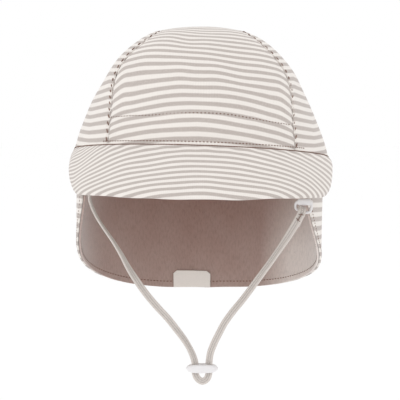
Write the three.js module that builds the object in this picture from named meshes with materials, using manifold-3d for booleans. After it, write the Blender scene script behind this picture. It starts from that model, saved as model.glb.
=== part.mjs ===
// Legionnaire cap for a small child: striped jersey crown, padded peak, lined neck flap and chin cord.
// Millimetres, +Z up. The peak points along -Y, and +X is the side with the hook.
// The origin is the middle of the head opening, at the height of the rim seam.
import * as THREE from 'three';
import { mergeVertices } from 'three/addons/utils/BufferGeometryUtils.js';
import Module from 'manifold-3d';

const wasm = await Module();
wasm.setup();

// Crown: half width, reach to the front and back, height over the origin, how far the rim is pitched up at the
// front and leans down on the hook's side, the wall, and how far the wall leans in for each millimetre it rises.
const halfWidth = 77.4;
const frontReach = 86;
const backReach = 88;
const crownHeight = 77;
const rimPitch = 9.5;
const rimLean = 2.6;
const crownWall = 1.6;
const wallLean = 0.4;

// Every piece keeps this clearance to the next one.
const gap = 0.3;

// Peak: how far it reaches past the rim and drops, how much less it drops on the hook's side and more on the
// other, its padding, how much its sides belly out, and how far its edge is shifted to the side without a hook.
const peakReach = 37;
const peakDrop = 25.4;
const peakLevel = 1.6;
const peakPadding = 5.5;
const peakBelly = 3;
const peakShift = 0.9;

// Neck flap: the length below the rim, the tuck into the rim, the two walls, its turn round the head, how far
// it hangs to the side without a hook, the hem's lean and waves, and how far it draws in behind the neck.
const flapDrop = 95;
const flapTuck = 4;
const outerWall = 1.2;
const liningWall = 1.2;
const flapSwing = 5;
const flapSway = 2;
const hemLean = -1.2;
const waveDepth = 1.4;
const waveCount = 5;
const neckDraw = 3;

// Label: the bare woven patch inside the hem.
const labelWidth = 26;
const labelHeight = 11.6;
const labelCut = 2.4;
const labelWall = 0.6;
const labelShift = -4.7;

// Hook: a flat ring whose mouth at the left parts it this far each way, hung on a tape from the rim seam.
// Its place and the cord's route are given for one half width, and move out with the rim.
const hookWidth = 11;
const hookBar = 2.8;
const hookRod = 1.8;
const hookDepth = 2.6;
const hookEdge = 0.5;
const hookMouth = 1.1;
const routeHalfWidth = 77.4;
const hookPlace = { x: 59.3 + halfWidth - routeHalfWidth, y: -54.5, z: -28.4 };
const tapeWidth = 6.5;
const tapeWall = 1;
const tapeAngle = 50;
const tapeTuck = 2;
const tapeColumns = 4;
const tapeRows = 8;

// Chin cord: the round core that stands for the flat braid.
const cordCore = 3.6;
const cordSides = 8;
const cordSteps = 80;

// Toggle: a bevelled oval block with two upright holes.
const toggleWidth = 19.2;
const toggleHeight = 5.4;
const toggleDepth = 7.6;
const toggleBevel = 1.9;
const holeSpacing = 8.2;
const holeSlack = 0.4;
const holeBore = cordCore + 2 * holeSlack;
const togglePlace = { x: 0.3, y: -44, z: -125.3 };

// Crown profile from the apex (down 0) to the rim (down 1), as shares of the height and reaches.
const crownRows = [
  { down: 0, height: 1, side: 0, front: 0, back: 0 },
  { down: 0.05, height: 0.9985, side: 0.074, front: 0.058, back: 0.078 },
  { down: 0.16, height: 0.982, side: 0.235, front: 0.185, back: 0.25 },
  { down: 0.28, height: 0.935, side: 0.405, front: 0.33, back: 0.43 },
  { down: 0.36, height: 0.866, side: 0.52, front: 0.45, back: 0.55 },
  { down: 0.45, height: 0.772, side: 0.626, front: 0.565, back: 0.66 },
  { down: 0.55, height: 0.65, side: 0.724, front: 0.675, back: 0.765 },
  { down: 0.65, height: 0.512, side: 0.797, front: 0.775, back: 0.845 },
  { down: 0.78, height: 0.325, side: 0.888, front: 0.89, back: 0.93 },
  { down: 0.9, height: 0.145, side: 0.957, front: 0.97, back: 0.983 },
  { down: 1, height: 0, side: 1, front: 1, back: 1 },
];

// Panel seam from the top of its arch (run 0) to the rim (run 1), as shares of the crown's flat plan.
const seamRows = [
  { run: 0, out: 0.215, along: 0 },
  { run: 0.14, out: 0.235, along: 0.11 },
  { run: 0.25, out: 0.29, along: 0.165 },
  { run: 0.35, out: 0.375, along: 0.205 },
  { run: 0.45, out: 0.46, along: 0.245 },
  { run: 0.55, out: 0.53, along: 0.305 },
  { run: 0.66, out: 0.573, along: 0.395 },
  { run: 0.77, out: 0.602, along: 0.49 },
  { run: 0.88, out: 0.645, along: 0.595 },
  { run: 1, out: 0.7071, along: 0.7071 },
];

// Peak by the angle from the front: shares of the reach, drop, padding and belly, and its sideways spread.
const peakRows = [
  { around: 0, ahead: 1, spread: 0, drop: 1, padding: 1, belly: 0.1 },
  { around: 15, ahead: 1, spread: 0.1, drop: 0.99, padding: 1, belly: 0.12 },
  { around: 30, ahead: 0.95, spread: 0.19, drop: 0.97, padding: 0.98, belly: 0.25 },
  { around: 45, ahead: 0.8, spread: 0.22, drop: 0.97, padding: 0.9, belly: 0.4 },
  { around: 60, ahead: 0.62, spread: 0.165, drop: 0.94, padding: 0.75, belly: 0.5 },
  { around: 72, ahead: 0.43, spread: 0.085, drop: 0.69, padding: 0.6, belly: 0.55 },
  { around: 80, ahead: 0.26, spread: 0.045, drop: 0.42, padding: 0.48, belly: 0.45 },
  { around: 88, ahead: 0.13, spread: 0.02, drop: 0.2, padding: 0.42, belly: 0.25 },
  { around: 96, ahead: 0.05, spread: 0.012, drop: 0.08, padding: 0.36, belly: 0.1 },
  { around: 101, ahead: 0.02, spread: 0.005, drop: 0.05, padding: 0.29, belly: 0 },
];

// Peak section, round the outside: along from the root (0) to the edge (1), proud as a share of the padding.
const peakSection = [
  { along: 0, proud: 0 },
  { along: 0.14, proud: 0.1 },
  { along: 0.32, proud: 0.18 },
  { along: 0.52, proud: 0.2 },
  { along: 0.72, proud: 0.17 },
  { along: 0.88, proud: 0.08 },
  { along: 0.96, proud: -0.1 },
  { along: 1, proud: -0.38 },
  { along: 0.97, proud: -0.66 },
  { along: 0.9, proud: -0.8 },
  { along: 0.72, proud: -0.8 },
  { along: 0.52, proud: -0.72 },
  { along: 0.32, proud: -0.56 },
  { along: 0.14, proud: -0.38 },
  { along: 0, proud: -0.29 },
];

// Front edge of the flap from the rim (run 0) to its lower corner (run 1), turn in degrees from the back.
const frontEdgeRows = [
  { run: 0, turn: 116, drop: 0 },
  { run: 0.3, turn: 116, drop: 0.2 },
  { run: 0.55, turn: 114.5, drop: 0.35 },
  { run: 0.8, turn: 107, drop: 0.48 },
  { run: 1, turn: 99, drop: 0.575 },
];

// Hem of the flap by its turn from the back, as a share of the drop.
const hemRows = [
  { turn: 0, drop: 1 },
  { turn: 28, drop: 0.975 },
  { turn: 48, drop: 0.92 },
  { turn: 64, drop: 0.843 },
  { turn: 78, drop: 0.752 },
  { turn: 91, drop: 0.65 },
  { turn: 99, drop: 0.575 },
];

// Route of the chin cord, hand chosen, from the left rim seam through the toggle and round the hook's rod.
const cordRoute = [
  [-65.5, -38.6, 3.0], [-66.1, -38.0, -8.0], [-66.5, -37.3, -18.0], [-66.1, -37.2, -26.0],
  [-62.7, -37.5, -34.6], [-57.9, -38.1, -42.4], [-52.4, -38.7, -50.2], [-47.7, -39.2, -57.8],
  [-43.7, -39.7, -65.2], [-38.9, -40.2, -72.8], [-32.9, -40.8, -81.2], [-26.7, -41.3, -88.6],
  [-20.2, -41.8, -95.6], [-14.5, -42.4, -102.7], [-9.3, -42.9, -109.8], [-5.7, -43.5, -116.4],
  [-4.0, -44.0, -121.6], [-3.8, -44.0, -125.3], [-3.6, -44.0, -128.6], [-2.2, -44.0, -131.6],
  [0.5, -44.0, -133.2], [3.1, -44.0, -131.8], [4.3, -44.0, -128.8], [4.4, -44.0, -125.3],
  [4.5, -44.0, -121.6], [5.3, -44.7, -116.0], [7.6, -45.3, -109.8], [10.3, -46.0, -104.2],
  [13.6, -46.8, -97.8], [18.3, -47.6, -91.0], [23.9, -48.5, -84.0], [29.1, -49.4, -76.9],
  [33.9, -50.4, -70.0], [39.0, -51.5, -62.8], [44.1, -52.6, -55.2], [48.7, -54.0, -48.1],
  [52.5, -55.4, -41.8], [55.7, -57.0, -36.0], [57.9, -57.9, -31.8], [58.5, -57.1, -29.4],
  [58.7, -54.5, -28.4], [58.7, -51.9, -29.4], [58.3, -51.1, -31.9], [56.7, -51.4, -35.8],
  [54.9, -51.7, -39.6],
];

const radians = THREE.MathUtils.degToRad;

// Smooth value of one column of a table at a place in its first column.
function ramp(rows, place, key, column) {
  const last = rows.length - 1;
  const at = THREE.MathUtils.clamp(place, rows[0][key], rows[last][key]);
  let low = 0;
  while (low < last - 1 && rows[low + 1][key] <= at) low += 1;
  const slope = (i) => (rows[i + 1][column] - rows[i][column]) / (rows[i + 1][key] - rows[i][key]);
  const width = (i) => rows[i + 1][key] - rows[i][key];
  const tangent = (i) => {
    if (i === 0) return slope(0);
    if (i === last) return slope(last - 1);
    return (slope(i - 1) * width(i) + slope(i) * width(i - 1)) / (width(i - 1) + width(i));
  };
  const u = (at - rows[low][key]) / width(low);
  const start = (2 * u ** 3 - 3 * u ** 2 + 1) * rows[low][column];
  const end = (3 * u ** 2 - 2 * u ** 3) * rows[low + 1][column];
  const leave = (u ** 3 - 2 * u ** 2 + u) * width(low) * tangent(low);
  const arrive = (u ** 3 - u ** 2) * width(low) * tangent(low + 1);
  return start + end + leave + arrive;
}

// Height of the rim seam in a direction round the head: raised at the front, lower on the hook's side.
function rimHeight(sine, cosine) {
  return rimPitch * cosine - rimLean * sine;
}

// Outer point of the rim, inset by a depth, at an angle from the front.
function rimPoint(around, depth) {
  const sine = Math.sin(radians(around));
  const cosine = Math.cos(radians(around));
  const reach = cosine > 0 ? frontReach : backReach;
  const outward = rimOutward(around);
  const edge = new THREE.Vector3(halfWidth * sine, -reach * cosine, rimHeight(sine, cosine));
  return edge.addScaledVector(outward, -depth);
}

// Level direction straight out of the rim at an angle from the front.
function rimOutward(around) {
  const sine = Math.sin(radians(around));
  const cosine = Math.cos(radians(around));
  const reach = cosine > 0 ? frontReach : backReach;
  return new THREE.Vector3(sine / halfWidth, -cosine / reach, 0).normalize();
}

// Outer face of the crown over a flat plan, a unit disc whose edge is the rim.
function crownPoint(across, along) {
  const radius = Math.max(Math.hypot(across, along), 1e-9);
  const sine = across / radius;
  const cosine = -along / radius;
  const height = ramp(crownRows, radius, 'down', 'height');
  const side = halfWidth * ramp(crownRows, radius, 'down', 'side');
  const column = cosine > 0 ? 'front' : 'back';
  const reach = (cosine > 0 ? frontReach : backReach) * ramp(crownRows, radius, 'down', column);
  const rim = rimHeight(sine, cosine);
  return new THREE.Vector3(side * sine, -reach * cosine, rim + (crownHeight - rim) * height);
}

// Point under a surface, straight in from its outer face.
function below(surface, a, b, depth) {
  const step = 0.002;
  const alongA = surface(a + step, b).sub(surface(a - step, b));
  const alongB = surface(a, b + step).sub(surface(a, b - step));
  return surface(a, b).addScaledVector(alongA.cross(alongB).normalize(), -depth);
}

// Point of a four-sided patch between its edge curves, each given as a function of 0 to 1.
function patch(bottom, top, left, right, u, v) {
  const corners = [bottom(0), bottom(1), top(0), top(1)];
  return [0, 1].map((i) => (1 - v) * bottom(u)[i] + v * top(u)[i] + (1 - u) * left(v)[i] + u * right(v)[i]
    - (1 - u) * (1 - v) * corners[0][i] - u * (1 - v) * corners[1][i]
    - (1 - u) * v * corners[2][i] - u * v * corners[3][i]);
}

// Closed geometry whose faces point outwards.
function closedGeometry(points, faces) {
  const a = new THREE.Vector3();
  let volume = 0;
  for (const [i, j, k] of faces) volume += points[i].dot(a.copy(points[j]).cross(points[k]));
  const geometry = new THREE.BufferGeometry();
  const turned = volume < 0 ? faces.map(([i, j, k]) => [i, k, j]) : faces;
  geometry.setAttribute('position', new THREE.Float32BufferAttribute(points.flatMap((p) => p.toArray()), 3));
  geometry.setIndex(turned.flat());
  return geometry;
}

// Thick sheet between two depths of a surface given as a function of u, v and depth.
function sheetGeometry(surface, columns, rows, shallow, deep) {
  const points = [];
  const faces = [];
  const stride = columns + 1;
  const layer = stride * (rows + 1);
  for (const depth of [shallow, deep]) {
    for (let row = 0; row <= rows; row += 1) {
      for (let column = 0; column <= columns; column += 1) {
        points.push(surface(column / columns, row / rows, depth));
      }
    }
  }
  const quad = (a, b, c, d) => faces.push([a, b, c], [a, c, d]);
  for (let row = 0; row < rows; row += 1) {
    for (let column = 0; column < columns; column += 1) {
      const here = row * stride + column;
      quad(here, here + 1, here + stride + 1, here + stride);
      quad(layer + here, layer + here + stride, layer + here + stride + 1, layer + here + 1);
    }
  }
  for (let column = 0; column < columns; column += 1) {
    const far = rows * stride + column;
    quad(column, layer + column, layer + column + 1, column + 1);
    quad(far, far + 1, layer + far + 1, layer + far);
  }
  for (let row = 0; row < rows; row += 1) {
    const near = row * stride;
    const far = near + columns;
    quad(near, near + stride, layer + near + stride, layer + near);
    quad(far, layer + far, layer + far + stride, far + stride);
  }
  return closedGeometry(points, faces);
}

// Panel seam on the plan, moved aside by a share, on the side given by +1 or -1.
function seamPlace(run, side, shift) {
  const place = Math.abs(run);
  const point = (at) => [ramp(seamRows, at, 'run', 'out'), ramp(seamRows, at, 'run', 'along')];
  const step = 0.01;
  const [out, along] = point(place);
  const [outNext, alongNext] = point(Math.min(place + step, 1));
  const [outLast, alongLast] = point(Math.max(place - step, 0));
  const length = Math.hypot(outNext - outLast, alongNext - alongLast);
  const movedOut = out + shift * (alongNext - alongLast) / length;
  const movedAlong = along - shift * (outNext - outLast) / length;
  return [side * movedOut, Math.sign(run) * movedAlong];
}

// Stretch of the rim on the plan between two seam ends.
function rimPlace(start, end, share) {
  const first = Math.atan2(start[0], -start[1]);
  const turn = Math.atan2(end[0], -end[1]) - first;
  const angle = first + share * (turn - 2 * Math.PI * Math.round(turn / (2 * Math.PI)));
  return [Math.sin(angle), -Math.cos(angle)];
}

// Cells of the grids: along the whole panel seam, along the arch's top, and across the centre panel.
const seamStepsWhole = 36;
const archSteps = seamStepsWhole / 3;
const centreColumns = 18;

// Centre panel of the crown, from the front rim over the top to the back rim.
function centrePanel() {
  const shift = -gap / 2 / halfWidth;
  const left = (v) => seamPlace(2 * v - 1, -1, shift);
  const right = (v) => seamPlace(2 * v - 1, 1, shift);
  const front = (u) => rimPlace(left(0), right(0), u);
  const back = (u) => rimPlace(left(1), right(1), u);
  const surface = (u, v, depth) => below(crownPoint, ...patch(front, back, left, right, u, v), depth);
  return sheetGeometry(surface, centreColumns, seamStepsWhole, 0, crownWall);
}

// Arched side panel of the crown, on the side given by +1 or -1.
function sidePanel(side) {
  const shift = gap / 2 / halfWidth;
  const arch = archSteps / seamStepsWhole;
  const front = (v) => seamPlace(-1 + (1 - arch) * v, side, shift);
  const back = (v) => seamPlace(1 - (1 - arch) * v, side, shift);
  const rim = (u) => rimPlace(front(0), back(0), u);
  const top = (u) => seamPlace(arch * (2 * u - 1), side, shift);
  const surface = (u, v, depth) => below(crownPoint, ...patch(rim, top, front, back, u, v), depth);
  return sheetGeometry(surface, archSteps, archSteps, 0, crownWall);
}

// One ring of the peak's padded section, at an angle from the front.
function peakRing(around) {
  const place = Math.abs(around);
  const share = (column) => ramp(peakRows, place, 'around', column);
  const root = rimPoint(around, 0);
  root.z -= gap;
  const spread = Math.sign(around) * share('spread') * peakReach - share('drop') * peakShift;
  const drop = share('drop') * (peakDrop - peakLevel * Math.sin(radians(around)));
  const edge = new THREE.Vector3(spread, -share('ahead') * peakReach, -drop);
  const length = edge.length();
  const forward = edge.normalize();
  const outward = rimOutward(around);
  const upward = outward.addScaledVector(forward, -outward.dot(forward)).normalize();
  return peakSection.map(({ along, proud }) => {
    const belly = share('belly') * peakBelly * 4 * along * (1 - along);
    const lift = proud * share('padding') * peakPadding + belly;
    return root.clone().addScaledVector(forward, along * length).addScaledVector(upward, lift);
  });
}

const peakRings = 44;

// Padded peak, lofted through its rings from temple to temple.
function peak() {
  const limit = peakRows[peakRows.length - 1].around;
  const points = [];
  const faces = [];
  const size = peakSection.length;
  for (let ring = 0; ring <= peakRings; ring += 1) {
    points.push(...peakRing(limit * (2 * ring / peakRings - 1)));
  }
  for (let ring = 0; ring < peakRings; ring += 1) {
    for (let i = 0; i < size; i += 1) {
      const here = ring * size + i;
      const next = ring * size + (i + 1) % size;
      faces.push([here, next, next + size], [here, next + size, here + size]);
    }
  }
  const outline = peakSection.map(({ along, proud }) => new THREE.Vector2(along, proud));
  const far = peakRings * size;
  for (const [i, j, k] of THREE.ShapeUtils.triangulateShape(outline, [])) {
    faces.push([i, j, k], [far + k, far + j, far + i]);
  }
  return closedGeometry(points, faces);
}

// Point of the flap by its turn from the back in degrees, its drop as a share, and its depth inwards.
function flapPoint(turn, drop, depth) {
  const around = 180 - turn - flapSwing;
  const inTuck = flapTuck * wallLean * Math.max(0, 1 - drop * flapDrop / flapTuck);
  const point = rimPoint(around, crownWall + gap + depth + inTuck);
  const sine = Math.sin(radians(around));
  const wave = waveDepth * drop * Math.cos(radians(turn * waveCount));
  const draw = neckDraw * drop ** 2 * Math.max(Math.cos(radians(turn)), 0) ** 2;
  point.addScaledVector(rimOutward(around), wave - draw);
  point.x -= flapSway * (1 - (1 - drop) ** 3);
  const top = point.z + flapTuck;
  point.z = top * (1 - drop) - (flapDrop + hemLean * sine) * drop;
  return point;
}

const flapColumns = 42;
const flapRows = 9;

// One layer of the flap between two depths.
function flapLayer(shallow, deep) {
  const corner = frontEdgeRows[frontEdgeRows.length - 1].turn;
  const top = frontEdgeRows[0].turn;
  const seam = (u) => [top * (1 - 2 * u), 0];
  const hem = (u) => {
    const turn = corner * (1 - 2 * u);
    return [turn, ramp(hemRows, Math.abs(turn), 'turn', 'drop')];
  };
  const edge = (v, side) => [
    side * ramp(frontEdgeRows, v, 'run', 'turn'),
    ramp(frontEdgeRows, v, 'run', 'drop'),
  ];
  const first = (v) => edge(v, 1);
  const last = (v) => edge(v, -1);
  const surface = (u, v, depth) => flapPoint(...patch(seam, hem, first, last, u, v), depth);
  return sheetGeometry(surface, flapColumns, flapRows, shallow, deep);
}

// Bare woven label on the lining, at the hem behind the neck, with its upper corners cut.
function label() {
  const columns = 8;
  const rows = 3;
  const cutShare = 1 / columns;
  const depth = outerWall + liningWall + 2 * gap;
  const reach = halfWidth - crownWall - depth;
  const surface = (u, v, within) => {
    const place = THREE.MathUtils.radToDeg((labelShift + labelWidth * (u - 0.5)) / reach) - flapSwing;
    const hem = ramp(hemRows, Math.abs(place), 'turn', 'drop') - gap / flapDrop;
    const near = Math.min(u, 1 - u);
    const height = labelHeight - labelCut * Math.max(0, 1 - near / cutShare);
    return flapPoint(place, hem - height / flapDrop * v, within);
  };
  return sheetGeometry(surface, columns, rows, depth, depth + labelWall);
}

// Outline of the hook seen from the front: a top bar, a rod round the slot, and a mouth at the left.
function hookShape() {
  const slot = cordCore + 2 * gap;
  const half = hookWidth / 2;
  const tip = hookMouth - slot / 2;
  const rodEnd = hookRod + hookMouth - half;
  const shape = new THREE.Shape();
  shape.moveTo(-half, tip);
  shape.lineTo(-half, slot / 2 + hookBar - hookRod);
  shape.quadraticCurveTo(-half, slot / 2 + hookBar, -half + hookRod, slot / 2 + hookBar);
  shape.lineTo(half - hookRod, slot / 2 + hookBar);
  shape.quadraticCurveTo(half, slot / 2 + hookBar, half, slot / 2 + hookBar - hookRod);
  shape.lineTo(half, -slot / 2);
  shape.quadraticCurveTo(half, -slot / 2 - hookRod, half - hookRod, -slot / 2 - hookRod);
  shape.lineTo(rodEnd, -slot / 2 - hookRod);
  shape.lineTo(rodEnd, -slot / 2);
  shape.lineTo(half - hookRod, -slot / 2);
  shape.lineTo(half - hookRod, slot / 2);
  shape.lineTo(-half + hookRod, slot / 2);
  shape.lineTo(-half + hookRod, tip);
  return shape;
}

// White plastic hook, upright, facing the front.
function hook() {
  const depth = hookDepth - 2 * hookEdge;
  const settings = {
    depth, bevelEnabled: true, bevelThickness: hookEdge, bevelSize: hookEdge, bevelOffset: -hookEdge,
    bevelSegments: 1, curveSegments: 4,
  };
  const geometry = new THREE.ExtrudeGeometry(hookShape(), settings);
  geometry.translate(0, 0, -depth / 2);
  geometry.rotateX(Math.PI / 2);
  return geometry;
}

// Tape that carries the hook, twisting from the line of the rim to face the front.
function hookTape() {
  const top = rimPoint(tapeAngle, crownWall + 2 * gap + tapeWall / 2 + tapeTuck * wallLean);
  top.z += tapeTuck;
  const slot = cordCore + 2 * gap;
  const foot = new THREE.Vector3(hookPlace.x, hookPlace.y, hookPlace.z + slot / 2 + hookBar + gap);
  const outward = rimOutward(tapeAngle);
  const surface = (u, v, depth) => {
    const facing = outward.clone().multiplyScalar(v).add(new THREE.Vector3(0, v - 1, 0)).normalize();
    const width = new THREE.Vector3(0, 0, 1).cross(facing).normalize();
    const middle = foot.clone().lerp(top, v);
    middle.addScaledVector(width, tapeWidth * (u - 0.5));
    return middle.addScaledVector(facing, -depth);
  };
  return sheetGeometry(surface, tapeColumns, tapeRows, -tapeWall / 2, tapeWall / 2);
}

// Curve that gives more points to the close bends, where its chosen points are closer.
class CordCurve extends THREE.CatmullRomCurve3 {
  getPointAt(share, target) {
    return this.getPoint(share, target);
  }

  getTangentAt(share, target) {
    return this.getTangent(share, target);
  }
}

// Chin cord as a plain tube along its route.
function chinCord() {
  const section = new THREE.Shape();
  for (let side = 0; side < cordSides; side += 1) {
    const angle = 2 * Math.PI * side / cordSides;
    const x = cordCore / 2 * Math.cos(angle);
    const y = cordCore / 2 * Math.sin(angle);
    if (side === 0) section.moveTo(x, y);
    else section.lineTo(x, y);
  }
  const points = cordRoute.map(([x, y, z]) => {
    const share = THREE.MathUtils.clamp((z - togglePlace.z) / (hookPlace.z - togglePlace.z), 0, 1);
    return new THREE.Vector3(x + Math.sign(x) * (halfWidth - routeHalfWidth) * share, y, z);
  });
  const route = new CordCurve(points, false, 'centripetal');
  return new THREE.ExtrudeGeometry(section, { steps: cordSteps, bevelEnabled: false, extrudePath: route });
}

// Solid for cutting, from a closed geometry.
function solid(geometry) {
  geometry.deleteAttribute('normal');
  geometry.deleteAttribute('uv');
  const merged = mergeVertices(geometry);
  const mesh = new wasm.Mesh({
    numProp: 3,
    vertProperties: new Float32Array(merged.attributes.position.array),
    triVerts: new Uint32Array(merged.index.array),
  });
  return new wasm.Manifold(mesh);
}

// Toggle: an oval block bevelled above and below, with two upright holes for the cord.
function toggle() {
  const outline = new THREE.Shape();
  const end = toggleDepth / 2;
  const run = toggleWidth / 2 - end;
  outline.moveTo(-run, -end);
  outline.lineTo(run, -end);
  outline.absarc(run, 0, end, -Math.PI / 2, Math.PI / 2, false);
  outline.lineTo(-run, end);
  outline.absarc(-run, 0, end, Math.PI / 2, 1.5 * Math.PI, false);
  const depth = toggleHeight - 2 * toggleBevel;
  const block = new THREE.ExtrudeGeometry(outline, {
    depth, bevelEnabled: true, bevelThickness: toggleBevel, bevelSize: toggleBevel,
    bevelOffset: -toggleBevel, bevelSegments: 2, curveSegments: 7,
  });
  block.translate(0, 0, -depth / 2);
  let body = solid(block);
  for (const side of [-1, 1]) {
    const bore = new THREE.CylinderGeometry(holeBore / 2, holeBore / 2, 2 * toggleHeight, 20);
    bore.rotateX(Math.PI / 2);
    bore.translate(side * holeSpacing / 2, 0, 0);
    body = body.subtract(solid(bore));
  }
  const mesh = body.getMesh();
  const geometry = new THREE.BufferGeometry();
  geometry.setAttribute('position', new THREE.Float32BufferAttribute(mesh.vertProperties, 3));
  geometry.setIndex(new THREE.Uint32BufferAttribute(mesh.triVerts, 1));
  return geometry;
}

const materials = {
  stripes: new THREE.MeshStandardMaterial({ color: 0xd8d1cd, roughness: 0.95, metalness: 0 }),
  lining: new THREE.MeshStandardMaterial({ color: 0x8a6e65, roughness: 0.95, metalness: 0 }),
  label: new THREE.MeshStandardMaterial({ color: 0xccc2bc, roughness: 0.9, metalness: 0 }),
  cord: new THREE.MeshStandardMaterial({ color: 0xd2cbc6, roughness: 0.85, metalness: 0 }),
  plastic: new THREE.MeshStandardMaterial({ color: 0xf2f0f0, roughness: 0.35, metalness: 0 }),
};

const cap = new THREE.Group();

function place(name, geometry, material, position) {
  const mesh = new THREE.Mesh(geometry, material);
  mesh.name = name;
  if (position) mesh.position.set(position.x, position.y, position.z);
  cap.add(mesh);
}

place('crown_centre_panel', centrePanel(), materials.stripes);
place('crown_side_left', sidePanel(-1), materials.stripes);
place('crown_side_right', sidePanel(1), materials.stripes);
place('peak', peak(), materials.stripes);
place('flap_outer', flapLayer(0, outerWall), materials.stripes);
place('flap_lining', flapLayer(outerWall + gap, outerWall + gap + liningWall), materials.lining);
place('label', label(), materials.label);
place('hook', hook(), materials.plastic, hookPlace);
place('hook_tape', hookTape(), materials.cord);
place('chin_cord', chinCord(), materials.cord);
place('toggle', toggle(), materials.plastic, togglePlace);

export default cap;
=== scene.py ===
import math

import bpy
import numpy as np
from bpy.props import FloatProperty, FloatVectorProperty, PointerProperty
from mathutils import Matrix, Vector


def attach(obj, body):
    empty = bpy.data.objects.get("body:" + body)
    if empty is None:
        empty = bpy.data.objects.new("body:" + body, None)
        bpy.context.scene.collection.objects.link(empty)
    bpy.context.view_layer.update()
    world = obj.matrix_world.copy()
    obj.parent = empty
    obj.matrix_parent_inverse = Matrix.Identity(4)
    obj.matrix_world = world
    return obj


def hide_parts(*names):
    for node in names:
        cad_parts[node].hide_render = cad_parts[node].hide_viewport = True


bl_info = {
    "name": "Legionnaire Cap",
    "version": (1, 0, 0),
    "blender": (4, 5, 0),
    "location": "3D View > Sidebar > Cap",
    "description": "Dresses the packed frame of a small child's striped legionnaire cap",
    "category": "Object",
}

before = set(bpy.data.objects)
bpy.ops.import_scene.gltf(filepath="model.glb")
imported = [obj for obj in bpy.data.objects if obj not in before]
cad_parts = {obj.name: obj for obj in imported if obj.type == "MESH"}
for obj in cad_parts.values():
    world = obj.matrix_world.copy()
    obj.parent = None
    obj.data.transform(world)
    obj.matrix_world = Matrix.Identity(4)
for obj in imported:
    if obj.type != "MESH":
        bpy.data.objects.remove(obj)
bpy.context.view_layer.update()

# The source's sizes are in millimetres, Blender's in metres. A cloth map's unit is 100 mm.
MM = 0.001
CLOTH_UNIT = 100.0

# The view: the point that it looks at, how far off and how many degrees up it is, how much it takes in
# across that point, in metres, and the camera's sensor in millimetres.
VIEW_TARGET = (-0.0009, 0, -0.029)
VIEW_DISTANCE = 1.0
VIEW_ELEVATION = 5
VIEW_WIDTH = 0.246
SENSOR_WIDTH = 36

# The stage, in metres: the floor's height, the point that the lights face, and each light's name, place,
# size and power.
FLOOR_HEIGHT = -0.32
LIT_POINT = (0, 0, -0.02)
LIGHTS = (
    ("Key light", (-0.5, -1.3, 1.5), 1.0, 2.0),
    ("Side light", (-1.5, -0.9, -0.1), 0.9, 1.2),
)

# Crown and rim, in millimetres as in the source.
RIM_PITCH = 9.5
RIM_LEAN = 2.6
CROWN_WALL = 1.6
WALL_LEAN = 0.4
GAP = 0.3

# Peak.
PEAK_LEVEL = 1.6
PEAK_PADDING = 5.5
PEAK_BELLY = 3.0
PEAK_SHIFT = 0.9

# Flap.
FLAP_TUCK = 4.0
FLAP_SWING = 5.0
FLAP_SWAY = 2.0
HEM_LEAN = -1.2
OUTER_WALL = 1.2
LINING_WALL = 1.2
WAVE_DEPTH = 1.4
WAVE_COUNT = 5.0
NECK_DRAW = 3.0

# Label.
LABEL_WIDTH = 26.0
LABEL_HEIGHT = 11.6
LABEL_CUT = 2.4
LABEL_SLOPE = 0.9
LABEL_WALL = 0.6
LABEL_SHIFT = -4.7

# Hook and its tape.
HOOK_BAR = 2.8
HOOK_PLACE = (59.3, -54.5, -28.4)
TAPE_WIDTH = 6.5
TAPE_WALL = 1.0
TAPE_ANGLE = 50.0
TAPE_TUCK = 2.0

# Round core of the cord in the source, and the hook's slot round it.
CORD_CORE = 3.6
HOOK_SLOT = CORD_CORE + 2 * GAP

# Toggle: its size and place, how boxy it is along each axis, and its two holes.
TOGGLE_SIZE = (19.2, 7.6, 5.4)
TOGGLE_PLACE = (0.3, -44.0, -125.3)
TOGGLE_SWELL = (3.0, 3.6, 6.0)
TOGGLE_TAPER = 0.24
HOLE_SPACING = 8.2
HOLE_BORE = 4.4
DRILL_LENGTH = 20

# Bars of the hook by their middle lines from its slot, with their thickness and depth.
HOOK_BARS = (
    (((-2.2, 0, 2.95), (0, 0, 2.95), (3.4, 0, 2.95)), 3.8, 2.4),
    (((-3.1, 0, 3.4), (-4.3, 0, 2.5), (-4.7, 0, 0.9), (-4.5, 0, -0.6), (-3.7, 0, -1.5)), 1.5, 2.3),
    (
        ((4.4, 0, 3.4), (4.7, 0, 1.8), (4.6, 0, -0.2), (4.2, 0, -2.0), (3.2, 0, -2.95), (-2.2, 0, -3.05)),
        1.55, 2.2,
    ),
)

# Rings of a bar's round end from its tip inwards: how far out of the end, and how wide, as shares.
BAR_END_STEPS = (0.95, 0.7, 0.35)
BAR_END_SIZES = (0.3, 0.7, 0.93)

# Profiles of the crown by the distance from the apex on its flat plan.
CROWN_ROWS = {
    "down": (0, 0.05, 0.16, 0.28, 0.36, 0.45, 0.55, 0.65, 0.78, 0.9, 1),
    "height": (1, 0.9985, 0.982, 0.935, 0.866, 0.772, 0.65, 0.512, 0.325, 0.145, 0),
    "side": (0, 0.074, 0.235, 0.405, 0.52, 0.626, 0.724, 0.797, 0.888, 0.957, 1),
    "front": (0, 0.058, 0.185, 0.33, 0.45, 0.565, 0.675, 0.775, 0.89, 0.97, 1),
    "back": (0, 0.078, 0.25, 0.43, 0.55, 0.66, 0.765, 0.845, 0.93, 0.983, 1),
}

# A panel seam on the plan, by the run from the apex line to the rim: how far out and how far along.
SEAM_ROWS = {
    "run": (0, 0.14, 0.25, 0.35, 0.45, 0.55, 0.66, 0.77, 0.88, 1),
    "out": (0.215, 0.235, 0.29, 0.375, 0.46, 0.53, 0.573, 0.602, 0.645, 0.7071),
    "along": (0, 0.11, 0.165, 0.205, 0.245, 0.305, 0.395, 0.49, 0.595, 0.7071),
}

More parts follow.
